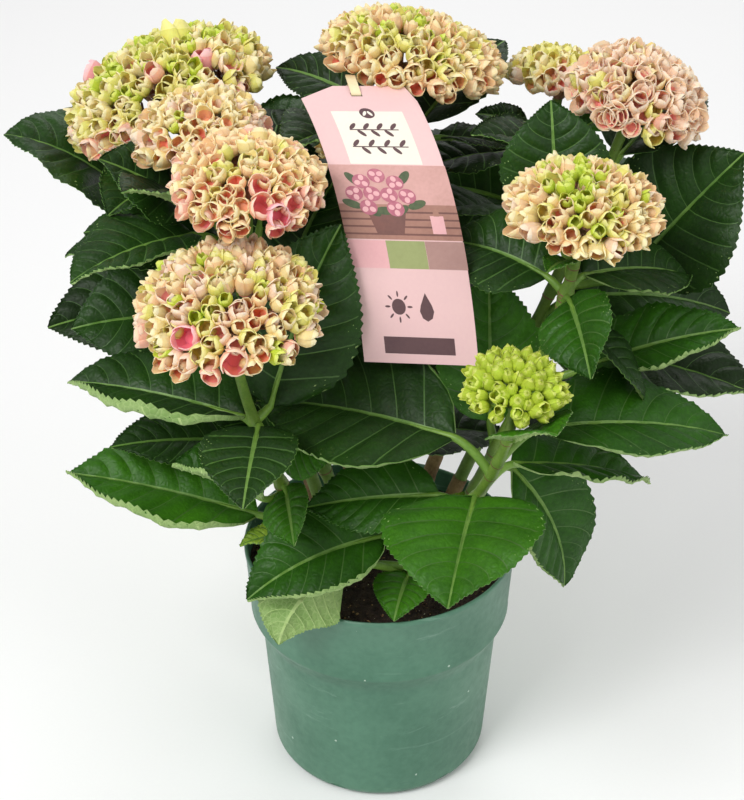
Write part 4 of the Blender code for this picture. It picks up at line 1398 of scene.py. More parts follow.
class Sepals:
    """The four finishes of each kind of floret: foot, outside, lip and throat."""

    TINTS = {
        CREAM: (srgb(206, 208, 108), srgb(241, 219, 150), srgb(249, 238, 182), srgb(250, 172, 132)),
        PEACH: (srgb(218, 196, 112), srgb(243, 202, 152), srgb(248, 226, 172), srgb(248, 138, 114)),
        ROSE: (srgb(228, 186, 132), srgb(242, 180, 158), srgb(247, 213, 184), srgb(247, 130, 134)),
        LIME: (srgb(152, 188, 34), srgb(186, 210, 58), srgb(216, 230, 104), srgb(176, 186, 44)),
        STRAW: (srgb(190, 202, 84), srgb(226, 222, 116), srgb(240, 235, 148), srgb(224, 196, 104)),
        BLUSH: (srgb(226, 206, 142), srgb(244, 208, 174), srgb(248, 227, 196), srgb(250, 156, 146)),
        PINK: (srgb(236, 190, 150), srgb(246, 164, 172), srgb(250, 196, 200), srgb(246, 120, 140)),
    }

    @classmethod
    def finishes(cls, bloom: Bloom) -> list[Finish]:
        """The four finishes of one kind.

        Args:
            bloom: The kind.

        Returns:
            Foot, outside, lip and throat.
        """
        made = []
        for part, colour in zip(("foot", "outside", "lip", "throat"), cls.TINTS[bloom]):
            shade = (colour[0] * 0.93, colour[1] * 0.86, colour[2] * 0.84, 1.0)
            made.append(Finish(f"sepal_{bloom.value}_{part}", colour, shade, 0.58, patch=170.0, grain=1200.0,
                               gloss_swing=0.06, specular=0.30, subsurface=0.30))
        return made


@dataclass(frozen=True)
class HeadLook:
    """What a flower head's florets are like.

    The kinds run from the middle of the head to its margin, each with its share.
    """

    floret: float  # mm between florets
    kinds: tuple[tuple[Bloom, Cup, float], ...]
    spread: float = 1.20  # florets' width against their spacing
    tilt: float = 0.10  # how far florets turn up towards the head's axis
    lowest: float = -0.16
    accents: tuple[tuple[float, float, float, Bloom, Cup], ...] = ()  # cosine, turn in degrees, size and kind


HEAD_LOOKS = {
    "back_left": HeadLook(
        6.8, ((LIME, EGG, 0.26), (STRAW, EGG, 0.22), (CREAM, TULIP, 0.12), (CREAM, EGG, 0.18),
        (ROSE, EGG, 0.08), (PEACH, BOWL, 0.08), (LIME, TULIP, 0.06)), accents=((0.74, 6, 1.7, PINK, OPEN),
        (0.71, 162, 1.6, PINK, TULIP), (0.41, 168, 1.3, BLUSH, OPEN), (0.78, 117, 1.2, ROSE, EGG),
        (0.08, 78, 1.3, ROSE, BOWL), (-0.06, 63, 1.3, ROSE, OPEN), (0.96, 204, 2.2, STRAW, TULIP))),
    "mid_left": HeadLook(
        6.4, ((LIME, EGG, 0.10), (CREAM, EGG, 0.24), (CREAM, BOWL, 0.16), (BLUSH, EGG, 0.12),
        (PEACH, BOWL, 0.18), (ROSE, BOWL, 0.20)), accents=((0.51, 51, 1.5, BLUSH, EGG),
        (0.19, 72, 1.5, CREAM, TULIP), (0.08, 105, 1.5, ROSE, BOWL), (-0.10, 138, 1.5, ROSE, BOWL),
        (0.25, 120, 1.4, ROSE, BOWL))),
    "centre": HeadLook(
        6.4, ((STRAW, EGG, 0.20), (CREAM, BOWL, 0.18), (PEACH, BOWL, 0.26), (ROSE, BOWL, 0.28),
        (LIME, EGG, 0.08)), accents=((0.63, 123, 1.4, ROSE, BOWL), (0.86, 126, 1.3, ROSE, BOWL),
        (0.39, 135, 1.4, PINK, BOWL), (0.51, 150, 1.3, ROSE, BOWL))),
    "front_left": HeadLook(
        6.6, ((LIME, EGG, 0.14), (PEACH, TULIP, 0.16), (STRAW, EGG, 0.12), (CREAM, EGG, 0.12),
        (BLUSH, EGG, 0.10), (PEACH, EGG, 0.18), (LIME, TULIP, 0.06), (ROSE, BOWL, 0.12)),
        lowest=-0.04, accents=((0.37, 114, 1.5, ROSE, BOWL), (0.61, 75, 1.5, PINK, BOWL))),
    "back": HeadLook(
        6.8, ((LIME, EGG, 0.14), (STRAW, EGG, 0.16), (PEACH, TULIP, 0.20), (CREAM, EGG, 0.20),
        (PEACH, EGG, 0.20), (BLUSH, EGG, 0.10))),
    "back_right": HeadLook(
        7.0, ((CREAM, EGG, 0.26), (BLUSH, EGG, 0.26), (BLUSH, OPEN, 0.20), (STRAW, EGG, 0.06),
        (ROSE, TULIP, 0.22))),
    "far_right": HeadLook(6.8, ((STRAW, EGG, 0.34), (CREAM, EGG, 0.32), (BLUSH, EGG, 0.34))),
    "right": HeadLook(
        6.6, ((LIME, EGG, 0.26), (STRAW, EGG, 0.12), (PEACH, TULIP, 0.18), (CREAM, TULIP, 0.20),
        (BLUSH, TULIP, 0.24))),
    "front": HeadLook(5.7, ((LIME, BUD, 0.60), (LIME, TULIP, 0.40)), spread=1.12),
    "rear_left": HeadLook(
        7.2, ((LIME, EGG, 0.18), (CREAM, EGG, 0.32), (PEACH, BOWL, 0.28), (ROSE, EGG, 0.22))),
}


class FloretKit:
    """One small mesh for each kind of floret, ready to be set out by Geometry Nodes."""

    VERSIONS = 3
    FOOT_SLOT, OUTSIDE_SLOT, LIP_SLOT, THROAT_SLOT = range(4)
    WALL = 0.035
    FOOT = 0.15
    TWIST = 0.08  # how much farther out one edge of a sepal lies than the other
    INNER = 0.60  # size of an open floret's inner sepals
    HEART = (0.26, 0.30)  # radii of the plug at the foot
    LINES = np.array((0.0, 0.3, 0.58, 0.84, 1.0))
    COLUMNS = np.array((-1.0, -0.45, 0.0, 0.45, 1.0))

    def __init__(self, palette: Palette) -> None:
        """Builds the kinds that any head uses, each in a few shapes.

        Args:
            palette: Where the florets' materials come from.
        """
        self.palette = palette
        self.collection = bpy.data.collections.new("floret_kinds")
        self.index: dict[tuple[Bloom, Cup], int] = {}
        used = {kind[:2] for look in HEAD_LOOKS.values() for kind in look.kinds}
        used |= {accent[3:] for look in HEAD_LOOKS.values() for accent in look.accents}
        ordered = sorted(used, key=lambda kind: (kind[0].value, kind[1].name))
        for number, (bloom, cup) in enumerate(ordered):
            self.index[(bloom, cup)] = number * self.VERSIONS
            for version in range(self.VERSIONS):
                name = f"floret_{number * self.VERSIONS + version:03d}"
                self.collection.objects.link(self._floret(name, bloom, cup, version))

    def _floret(self, name: str, bloom: Bloom, cup: Cup, version: int) -> bpy.types.Object:
        """Builds one floret of four lapping sepals that stands on the origin, about one unit wide.

        Args:
            name: Its name.
            bloom: Its colours.
            cup: How far it is open.
            version: Which of its shapes it takes.

        Returns:
            The floret, outside the scene.
        """
        rng = random.Random(100 * version + sum(map(ord, cup.name)))
        store = MeshStore()
        toward = rng.uniform(0, 2 * math.pi)
        for whorl, scale in enumerate((1.0, self.INNER) if cup is OPEN else (1.0,)):
            for sepal in range(4):
                centre = (sepal + whorl / 2) * math.pi / 2 + rng.uniform(-0.14, 0.14)
                self._sepal(store, cup, centre, toward, scale, rng)
        store.tube(np.array(((0, 0, 0.06), (0, 0, 0.2))), np.array(self.HEART), 8, self.THROAT_SLOT)
        obj = store.to_object(name, self.palette.all(Sepals.finishes(bloom)), 80)
        bpy.context.scene.collection.objects.unlink(obj)
        return obj

    def _sepal(self, store: MeshStore, cup: Cup, centre: float, toward: float, scale: float,
               rng: random.Random) -> None:
        """Adds one curved sepal as a closed shell.

        Args:
            store: Where it goes.
            cup: How far the floret is open.
            centre: The way the sepal faces, in radians.
            toward: The way the floret leans up, in radians.
            scale: The sepal's radius and height as shares of the cup's.
            rng: The floret's source of chance.
        """
        height, belly, place, mouth, half, tip, lean = cup.value
        height *= rng.uniform(0.86, 1.04) * (0.3 + 0.7 * scale)
        mouth *= rng.uniform(0.85, 1.2)
        share, side = self.LINES[:, None], self.COLUMNS[None, :]
        swell = self.FOOT + (belly - self.FOOT) * np.sin(math.pi / 2 * np.minimum(share / place, 1.0))
        close = belly + (mouth - belly) * np.maximum((share - place) / (1 - place), 0.0) ** 1.8
        width = np.interp(self.LINES, (0.0, 0.45, 0.74, 0.9, 1.0), (0.8, 1.0, 0.96, 0.86, tip))[:, None]
        turn = centre + side * np.radians(half) * width
        rise = share * height * (1 + lean * np.cos(turn - toward) * share)
        reach = np.where(share < place, swell, close) * scale * (1 + self.TWIST * side)
        layers = []
        for inset in (0.0, self.WALL):
            inner = np.maximum(reach - inset, 0.02)
            layers.append(np.stack([inner * np.cos(turn), inner * np.sin(turn), rise + inset * 0.5], axis=-1))
        rows, columns = len(self.LINES), len(self.COLUMNS)
        grid = np.array(layers).reshape(-1, 3)
        faces, slots = [], []
        for row in range(rows - 1):
            for column in range(columns - 1):
                a = row * columns + column
                faces.append((a, a + 1, a + 1 + columns, a + columns))
                faces.append(tuple(corner + rows * columns for corner in reversed(faces[-1])))
                outside = self.LIP_SLOT if row == rows - 2 else self.OUTSIDE_SLOT
                slots.append(self.FOOT_SLOT if row == 0 else outside)
                slots.append(self.THROAT_SLOT if row < 2 else self.OUTSIDE_SLOT)
        rim = list(range(columns)) + [row * columns + columns - 1 for row in range(1, rows)]
        rim += [(rows - 1) * columns + column for column in range(columns - 2, -1, -1)]
        rim += [row * columns for row in range(rows - 2, 0, -1)]
        for first, second in zip(rim, rim[1:] + rim[:1]):
            faces.append((second, first, first + rows * columns, second + rows * columns))
            slots.append(self.LIP_SLOT)
        store.add(grid, faces, slots)


def floret_tree() -> bpy.types.NodeTree:
    """The Geometry Nodes tree that sets florets out on a head's points.

    Returns:
        The tree.
    """
    weave, given, result = start_group(
        "set_out_florets", "Geometry",
        (("Geometry", "Geometry"), ("Kinds", "Collection"), ("Floret Size", "Float"), ("Size Swing", "Float"),
         ("Seed", "Int"), ("Heart", "Material")),
        (("Geometry", "Geometry"),))
    kinds = weave.children(given["Kinds"])
    facing, kind = weave.stored("facing", "FLOAT_VECTOR"), weave.stored("kind", "INT")
    aim = weave.add("FunctionNodeAlignRotationToVector", {"Vector": facing}, axis="Z")
    spin = weave.add("FunctionNodeRandomValue", {2: 0.0, 3: 2 * math.pi, "Seed": given["Seed"]})
    turn = weave.add("FunctionNodeAxisAngleToRotation", {"Axis": (0, 0, 1), "Angle": spin.outputs[1]})
    both = weave.add("FunctionNodeRotateRotation", {"Rotation": aim.outputs[0], "Rotate By": turn.outputs[0]},
                     rotation_space="LOCAL")
    low, high = (weave.math(way, 1.0, given["Size Swing"]) for way in ("SUBTRACT", "ADD"))
    index = weave.add("GeometryNodeInputIndex").outputs[0]
    own = weave.add("FunctionNodeRandomValue", {2: low, 3: high, "ID": index, "Seed": given["Seed"]})
    share = weave.math("MULTIPLY", own.outputs[1], weave.stored("size", "FLOAT"))
    scale = weave.math("MULTIPLY", share, given["Floret Size"])
    spread = weave.add("GeometryNodeInstanceOnPoints", {
        "Points": given["Geometry"], "Instance": kinds, "Pick Instance": True, "Instance Index": kind,
        "Rotation": both.outputs[0], "Scale": scale})
    weave.finish(spread, result, {"Selection": weave.stored("heart", "BOOLEAN"), "Material": given["Heart"]})
    return weave.tree


def run_tree(tree: bpy.types.NodeTree, obj: bpy.types.Object, name: str, values: dict) -> bpy.types.Object:
    """Runs a Geometry Nodes tree on an object and turns the result into a plain mesh.

    Args:
        tree: The tree.
        obj: The object it works on, which is removed.
        name: The new object's name.
        values: The tree's inputs.

    Returns:
        The new object.
    """
    sockets = {item.name: item.identifier for item in tree.interface.items_tree
               if item.item_type == "SOCKET" and item.in_out == "INPUT"}
    modifier = obj.modifiers.new("grown", "NODES")
    modifier.node_group = tree
    for key, value in values.items():
        modifier[sockets[key]] = value
    graph = bpy.context.evaluated_depsgraph_get()
    mesh = bpy.data.meshes.new_from_object(obj.evaluated_get(graph))
    obj.modifiers.clear()
    bpy.data.objects.remove(obj)
    mesh.name = name
    return link(bpy.data.objects.new(name, mesh))


@dataclass
class FlowerHeads:
    """All flower heads: florets set out on domes, over branching pedicels."""

    palette: Palette
    branches: int = 9
    lime_size: float = 0.84  # of the youngest open florets against the rest
    accent_room: float = 0.72  # how near an accent another floret may stand
    mixing: tuple[float, float] = (0.55, 0.45)  # how far chance and how far the place choose a floret's kind

    def build(self) -> None:
        """Builds and dresses every head."""
        kit, tree = FloretKit(self.palette), floret_tree()
        for number, (name, shoot) in enumerate(SHOOTS.items()):
            look = HEAD_LOOKS[name]
            points, facings, kinds, sizes = self.layout(shoot, look, kit, random.Random(300 + number))
            self.add_florets(name, look, tree, kit, points, facings, kinds, sizes, number)
            self.add_pedicels(name, shoot, points, facings)

    def layout(self, shoot: Shoot, look: HeadLook, kit: FloretKit, rng: random.Random) -> tuple:
        """Chooses each floret's place, facing, kind and size.

        Args:
            shoot: The shoot that bears the head.
            look: What its florets are like.
            kit: The kinds of floret.
            rng: The head's own source of chance.

        Returns:
            Places, facings, kind numbers and sizes.
        """
        _, side, other, axis = shoot.head_frame()
        heights = np.linspace(1.0, look.lowest, 200)
        flat = np.where(heights > 0, shoot.dome, HEAD_BELLY)
        band = np.cumsum(np.sqrt(heights**2 + flat**2 * (1 - heights**2))) * (1 - look.lowest) / 200
        count = int(2 * math.pi * (shoot.width / 2) ** 2 * band[-1] / look.floret**2)
        spots = []
        chance, order = self.mixing
        for index in range(count):
            cosine = float(np.interp((index + 0.5) / count * band[-1], band, heights))
            cosine = min(max(cosine + rng.uniform(-0.04, 0.04), look.lowest), 1.0)
            margin = (1 - cosine) / (1 - look.lowest)
            bloom, cup = self.choose(look, chance * rng.random() + order * margin)
            size = rng.uniform(0.88, 1.14) + 0.22 * margin**1.5
            if bloom is LIME and cup is not BUD:
                size *= self.lime_size
            spots.append((cosine, GOLDEN_TURN * index + rng.uniform(-0.12, 0.12), size, bloom, cup))
        accents = [(cosine, math.radians(turn), *rest) for cosine, turn, *rest in look.accents]
        places = [shoot.dome_point(cosine, turn) for cosine, turn, *_ in accents]
        reaches = [size * look.floret * self.accent_room * MM for _, _, size, _, _ in accents]
        points, facings, kinds, sizes = [], [], [], []
        for spot, (cosine, angle, size, bloom, cup) in enumerate(spots + accents):
            outer = shoot.dome_point(cosine, angle, rng.uniform(0.93, 1.0))
            crowded = any((outer - place).length < reach for place, reach in zip(places, reaches))
            if crowded and spot < count:
                continue
            ring = side * math.cos(angle) + other * math.sin(angle)
            facing = (ring * math.sqrt(1 - cosine * cosine) * 0.9 + axis * (cosine + look.tilt)).normalized()
            wander = Vector((rng.uniform(-1, 1), rng.uniform(-1, 1), rng.uniform(-1, 1))) * 0.14
            facing = (facing + wander).normalized()
            height = cup.value[0] * 0.9 * look.floret * MM * size * look.spread
            points.append(outer - facing * height)
            facings.append(facing)
            kinds.append(kit.index[(bloom, cup)] + rng.randrange(kit.VERSIONS))
            sizes.append(size)
        return points, facings, kinds, sizes

    @staticmethod
    def choose(look: HeadLook, draw: float) -> tuple[Bloom, Cup]:
        """The kind of floret that a number from 0 to 1 falls on.

        Args:
            look: What the head's florets are like.
            draw: The number.

        Returns:
            Its colours and how far it is open.
        """
        for bloom, cup, share in look.kinds:
            draw -= share
            if draw < 0:
                return bloom, cup
        return look.kinds[0][:2]

    def add_florets(self, name: str, look: HeadLook, tree: bpy.types.NodeTree, kit: FloretKit, points: list,
                    facings: list, kinds: list, sizes: list, seed: int) -> None:
        """Sets a head's florets out with Geometry Nodes and dresses them.

        Args:
            name: The shoot's name.
            look: What the florets are like.
            tree: The tree that sets them out.
            kit: The kinds of floret.
            points: Their places.
            facings: The ways they face.
            kinds: Their kinds' numbers.
            sizes: Their sizes against each other.
            seed: Fixes their turns.
        """
        mesh = bpy.data.meshes.new("floret_points")
        mesh.from_pydata([tuple(point) for point in points], [], [])
        for label, kind, values in (("kind", "INT", kinds), ("size", "FLOAT", sizes)):
            mesh.attributes.new(label, kind, "POINT").data.foreach_set("value", values)
        flat = [value for facing in facings for value in facing]
        mesh.attributes.new("facing", "FLOAT_VECTOR", "POINT").data.foreach_set("vector", flat)
        obj = link(bpy.data.objects.new("floret_points", mesh))
        piece = run_tree(tree, obj, "florets_" + name, {
            "Kinds": kit.collection, "Floret Size": look.floret * look.spread * MM, "Size Swing": 0.08,
            "Seed": seed, "Heart": self.palette.get(PEDICEL_LIME)})
        dress(piece, "sepal_cream", "flower_head_" + name)

    def add_pedicels(self, name: str, shoot: Shoot, points: list, facings: list) -> None:
        """Builds the stalk under a head and its branches to every floret.

        Args:
            name: The shoot's name.
            shoot: The shoot.
            points: The florets' places.
            facings: The ways they face.
        """
        store = MeshStore()
        slot = int(name == "front")
        top = shoot.point(1.0)
        stalk = np.concatenate([shoot.path(STEM_END, 1.0, 8), [np.array(top + shoot.axis * 3 * MM)]])
        store.tube(stalk, np.linspace(2.3, 2.6, len(stalk)) * MM, 10, 2)
        hubs = []
        for index in range(self.branches):
            cosine = 0.92 - 0.95 * (index + 0.5) / self.branches
            hub = shoot.dome_point(max(cosine, 0.02), GOLDEN_TURN * index * 1.7, 0.52)
            hubs.append(hub)
            way = (hub - top) * 0.4
            controls = (top, top + shoot.axis * way.length * 0.8, hub - (hub - top) * 0.25, hub)
            store.tube(bezier(controls, 6), np.linspace(1.6, 1.0, 6) * MM, 6, slot)
        for point, facing in zip(points, facings):
            hub = min(hubs, key=lambda place: (place - point).length)
            reach = (point - hub).length
            controls = (hub, hub.lerp(point, 0.35), point - facing * reach * 0.3, point + facing * 0.8 * MM)
            store.tube(bezier(controls, 4), np.array((0.75, 0.6, 0.55, 0.6)) * MM, 4, slot)
        piece = store.to_object("pedicels_" + name, self.palette.all((PEDICEL, PEDICEL_LIME, STEM_GREEN)), 70)
        dress(piece, "sepal_cream", "flower_head_" + name)


# --------------------------------------------------------------------------------------------- pot and soil

POT_PLASTIC = Finish("pot_plastic", srgb(80, 126, 102), srgb(66, 110, 88), 0.46, patch=22.0, grain=260.0,
                     gloss_swing=0.08, relief=900.0, relief_depth=0.00006, specks=0.05, speck_scale=260.0,
                     speck_colour=srgb(170, 190, 176), scuffs=0.58, scuff_colour=srgb(150, 180, 166))
SOIL = Finish("potting_soil", srgb(62, 46, 36), srgb(30, 22, 18), 0.95, patch=260.0, grain=1400.0,
              relief=900.0, relief_depth=0.0012, specks=0.12, speck_scale=500.0,
              speck_colour=srgb(150, 120, 86))
CRUMB = Finish("soil_crumb", srgb(78, 58, 42), srgb(28, 20, 15), 0.95, patch=400.0, relief=1200.0,
               relief_depth=0.0006)
CHIP = Finish("bark_chip", srgb(182, 148, 104), srgb(120, 88, 58), 0.85, patch=300.0)
PERLITE = Finish("perlite", srgb(226, 220, 206), srgb(198, 190, 174), 0.85, patch=500.0)


@dataclass
class Pot:
    """The moulded nursery pot, turned from its profile, with drain notches under its edge."""

    palette: Palette
    height: float = 130 * MM
    rim_radius: float = 70 * MM
    collar_foot: tuple[float, float] = (67.5 * MM, 90 * MM)
    body_top: tuple[float, float] = (62 * MM, 81 * MM)
    foot_radius: float = 57 * MM
    rounding: float = 7 * MM
    wall: float = 2 * MM
    floor: float = 3 * MM
    notches: int = 6
    notch: float = 6 * MM  # radius and depth of the notches' cutters
    notch_turn: float = 307.0
    steps: int = 144

    def profile(self) -> list[tuple[float, float]]:
        """The section, from the floor's middle over the rim to the underside's middle.

        Returns:
            Radius and height of each point.
        """
        wall, rim, top, foot = self.wall, self.rim_radius, self.height, self.foot_radius
        (collar, low), (body, shelf) = self.collar_foot, self.body_top
        inner = [(0.0, self.floor), (30 * MM, self.floor), (50 * MM, self.floor), (foot - wall, 11 * MM),
                 (body - wall, shelf), (collar - wall, low), (rim - wall - 0.2 * MM, top - 3 * MM)]
        lip = [(rim - wall + 0.1 * MM, top - 0.7 * MM), (rim - wall + 0.6 * MM, top - 0.1 * MM),
               (rim - 0.7 * MM, top), (rim - 0.15 * MM, top - 0.5 * MM), (rim, top - 1.3 * MM),
               (rim - 0.05 * MM, top - 2.6 * MM), (rim - 0.5 * MM, top - 3.4 * MM)]
        outer = [(collar - 0.1 * MM, low + 2.2 * MM), (collar + 0.1 * MM, low + 1.2 * MM),
                 (collar - 0.3 * MM, low), (collar - 1.6 * MM, low - 1.8 * MM),
                 (body + 1.0 * MM, shelf + 1.6 * MM), (body + 0.15 * MM, shelf - 0.6 * MM),
                 (body - 0.15 * MM, shelf - 3 * MM)]
        for share in (0.75, 0.5, 0.25, 0.1):
            outer.append((foot + (body - foot) * share, self.rounding + (shelf - self.rounding) * share))
        for step in range(9):
            angle = math.radians(90 * step / 8)
            inset, drop = 1 - math.cos(angle), 1 - math.sin(angle)
            outer.append((foot - self.rounding * inset, self.rounding * drop))
        return inner + lip + outer + [(30 * MM, 0.0), (0.0, 0.0)]

    def build(self) -> None:
        """Builds and dresses the pot."""
        profile = self.profile()
        bm = bmesh.new()
        verts = [bm.verts.new((radius, 0, height)) for radius, height in profile]
        edges = [bm.edges.new(pair) for pair in zip(verts, verts[1:])]
        bmesh.ops.spin(bm, geom=verts + edges, cent=(0, 0, 0), axis=(0, 0, 1), angle=2 * math.pi,
                       steps=self.steps, use_merge=True)
        bmesh.ops.remove_doubles(bm, verts=bm.verts, dist=0.00001)
        bmesh.ops.recalc_face_normals(bm, faces=bm.faces)
        obj = self._object("pot_body", bm)
        cutters = [self._notch(index) for index in range(self.notches)]
        for cutter in cutters:
            cut = obj.modifiers.new("drain", "BOOLEAN")
            cut.operation = "DIFFERENCE"
            cut.solver = "EXACT"
            cut.object = cutter
        graph = bpy.context.evaluated_depsgraph_get()
        mesh = bpy.data.meshes.new_from_object(obj.evaluated_get(graph))
        obj.modifiers.clear()
        obj.data = mesh
        for cutter in cutters:
            bpy.data.objects.remove(cutter)
        mesh.materials.clear()
        mesh.materials.append(self.palette.get(POT_PLASTIC))
        mesh.shade_smooth()
        mesh.set_sharp_from_angle(angle=math.radians(32))
        dress(obj, "pot_plastic", "pot")

    def _notch(self, index: int) -> bpy.types.Object:
        """One arched cutter for a drain notch in the bottom edge.

        Args:
            index: The notch's number.

        Returns:
            The cutter.
        """
        turn = self.notch_turn + 360 / self.notches * index
        away = heading(turn, 0)
        bm = bmesh.new()
        bmesh.ops.create_cone(bm, cap_ends=True, segments=32, radius1=self.notch, radius2=self.notch,
                              depth=self.notch, matrix=facing_z(away, away * self.foot_radius))
        return self._object(f"drain_{index}", bm)

    @staticmethod
    def _object(name: str, bm: bmesh.types.BMesh) -> bpy.types.Object:
        """Turns a bmesh into an object in the scene.

        Args:
            name: Its name.
            bm: The bmesh, which is freed.

        Returns:
            The object.
        """
        mesh = bpy.data.meshes.new(name)
        bm.to_mesh(mesh)
        bm.free()
        return link(bpy.data.objects.new(name, mesh))


def crumb_tree() -> bpy.types.NodeTree:
    """The Geometry Nodes tree that strews crumbs over the soil.

    Returns:
        The tree.
    """
    weave, given, result = start_group(
        "strew_crumbs", "Geometry",
        (("Geometry", "Geometry"), ("Crumbs", "Collection"), ("Density", "Float"), ("Least Size", "Float"),
         ("Greatest Size", "Float"), ("Seed", "Int"), ("Material", "Material")),
        (("Geometry", "Geometry"),))
    spots = weave.add("GeometryNodeDistributePointsOnFaces", {
        "Mesh": given["Geometry"], "Density": given["Density"], "Seed": given["Seed"]})
    turn = weave.add("FunctionNodeRandomValue", {0: (0.0,) * 3, 1: (6.28,) * 3, "Seed": given["Seed"]},
                     data_type="FLOAT_VECTOR")
    size = weave.add("FunctionNodeRandomValue", {2: given["Least Size"], 3: given["Greatest Size"],
                                                 "Seed": given["Seed"]})
    spread = weave.add("GeometryNodeInstanceOnPoints", {
        "Points": spots.outputs["Points"], "Instance": weave.children(given["Crumbs"]), "Pick Instance": True,
        "Rotation": turn.outputs[0], "Scale": size.outputs[1]})
    weave.finish(spread, result, {"Material": given["Material"]})
    return weave.tree


@dataclass
class Soil:
    """The potting mix: an uneven crumbly plug, strewn with crumbs, chips and perlite."""

    palette: Palette
    radius: float = 66.8 * MM
    depth: float = 24 * MM
    rough: float = 1.6 * MM
    strewn_gap: float = 2.2 * MM  # how far from the wall the crumbs stay
    # name, finish, crumbs for each square metre, least and greatest size in mm, seed
    strewn: tuple[tuple, ...] = (("soil_crumbs", CRUMB, 150000.0, 0.7, 2.4, 3),
                                 ("bark_chips", CHIP, 24000.0, 0.6, 2.2, 4),
                                 ("perlite_bits", PERLITE, 8000.0, 0.4, 1.3, 5))

    def surface(self, x: float, y: float) -> float:
        """Height of the soil at a place."""
        return SOIL_HEIGHT + self.rough * noise.fractal(Vector((x * 60, y * 60, 3.0)), 0.8, 2.1, 4)

    def build(self) -> None:
        """Builds and dresses the plug and what lies on it."""
        rings, around = 34, 96
        store = MeshStore()
        rows = []
        for ring in range(rings + 1):
            reach = self.radius * max(ring / rings, 0.004)
            turn = np.arange(around) / around * 2 * np.pi
            xs, ys = reach * np.cos(turn), reach * np.sin(turn)
            rows.append(np.array([(x, y, self.surface(x, y)) for x, y in zip(xs, ys)]))
        rows.append(rows[-1] * (0.96, 0.96, 0.0) + (0, 0, SOIL_HEIGHT - self.depth))
        rows.append(rows[-1] * (0.01, 0.01, 1.0))
        faces = [(a, d, c, b) for a, b, c, d in band_faces(len(rows), around)]
        faces.append(tuple(range(around)))
        faces.append(tuple((len(rows) - 1) * around + side for side in reversed(range(around))))
        store.add(np.array(rows).reshape(-1, 3), faces, [0] * len(faces))
        plug = store.to_object("soil_plug", self.palette.all((SOIL,)), 80)
        tree, kinds = crumb_tree(), self._crumb_kinds()
        for name, finish, density, least, most, seed in self.strewn:
            piece = run_tree(tree, self._disc(), name, {
                "Crumbs": kinds, "Density": density, "Least Size": least * MM, "Greatest Size": most * MM,
                "Seed": seed, "Material": self.palette.get(finish)})
            dress(piece, "soil", "potting_soil")
        dress(plug, "soil", "potting_soil")

    def _disc(self) -> bpy.types.Object:
        """The soil's surface alone, a little inside the pot, for strewing on.

        Returns:
            The disc.
        """
        rings, around = 16, 48
        points, faces = [(0.0, 0.0, self.surface(0, 0))], []
        for ring in range(1, rings + 1):
            for side in range(around):
                turn = 2 * math.pi * side / around
                reach = (self.radius - self.strewn_gap) * ring / rings
                x, y = reach * math.cos(turn), reach * math.sin(turn)
                points.append((x, y, self.surface(x, y)))
        for side in range(around):
            after = (side + 1) % around
            faces.append((0, 1 + side, 1 + after))
            for ring in range(rings - 1):
                low, high = 1 + ring * around, 1 + (ring + 1) * around
                faces.append((low + side, high + side, high + after, low + after))
        mesh = bpy.data.meshes.new("soil_disc")
        mesh.from_pydata(points, [], faces)
        return link(bpy.data.objects.new("soil_disc", mesh))

    @staticmethod
    def _crumb_kinds() -> bpy.types.Collection:
        """Five lumpy crumbs of about one unit.

        Returns:
            The collection that holds them, outside the scene.
        """
        kinds = bpy.data.collections.new("crumb_kinds")
        rng = random.Random(8)
        for index in range(5):
            bm = bmesh.new()
            bmesh.ops.create_icosphere(bm, subdivisions=1, radius=0.5)
            stretch = Vector((1.0, rng.uniform(0.5, 0.9), rng.uniform(0.35, 0.8)))
            for vert in bm.verts:
                vert.co = vert.co * stretch * rng.uniform(0.72, 1.15)
            mesh = bpy.data.meshes.new(f"crumb_{index}")
            bm.to_mesh(mesh)
            bm.free()
            kinds.objects.link(bpy.data.objects.new(f"crumb_{index}", mesh))
        return kinds


# ---------------------------------------------------------------------------------------------------- label

CARD = Finish("label_rose", srgb(230, 194, 192), srgb(226, 188, 188), 0.42, patch=18.0, gloss_swing=0.04)
CARD_BACK = Finish("label_back", srgb(236, 214, 208), srgb(228, 204, 198), 0.5, patch=18.0)
PANEL = Finish("label_cream", srgb(238, 234, 220), srgb(234, 228, 212), 0.45, patch=24.0)
INK = Finish("label_mauve_ink", srgb(96, 70, 72), srgb(88, 62, 66), 0.45)
PRINT_TAUPE = Finish("label_taupe", srgb(212, 164, 158), srgb(196, 150, 142), 0.45, patch=60.0)
PRINT_WOOD = Finish("label_wood_tone", srgb(172, 128, 112), srgb(156, 112, 98), 0.45, patch=90.0)
PRINT_SHADE = Finish("label_brown", srgb(124, 84, 76), srgb(108, 72, 66), 0.45, patch=90.0)
PRINT_PINK = Finish("label_pink", srgb(186, 112, 128), srgb(168, 92, 110), 0.45, patch=300.0)
PRINT_BLUSH = Finish("label_blush", srgb(228, 176, 178), srgb(222, 166, 170), 0.45, patch=60.0)
PRINT_LIME = Finish("label_lime", srgb(156, 164, 110), srgb(146, 154, 100), 0.45, patch=60.0)
PRINT_PLUM = Finish("label_plum", srgb(174, 138, 130), srgb(164, 126, 120), 0.45, patch=60.0)
PRINT_LEAF = Finish("label_leaf", srgb(84, 98, 66), srgb(68, 82, 54), 0.45, patch=300.0)
PAPER = Finish("strap_paper", srgb(240, 226, 186), srgb(230, 212, 168), 0.75, patch=120.0, relief=1500.0,
               relief_depth=0.00005)


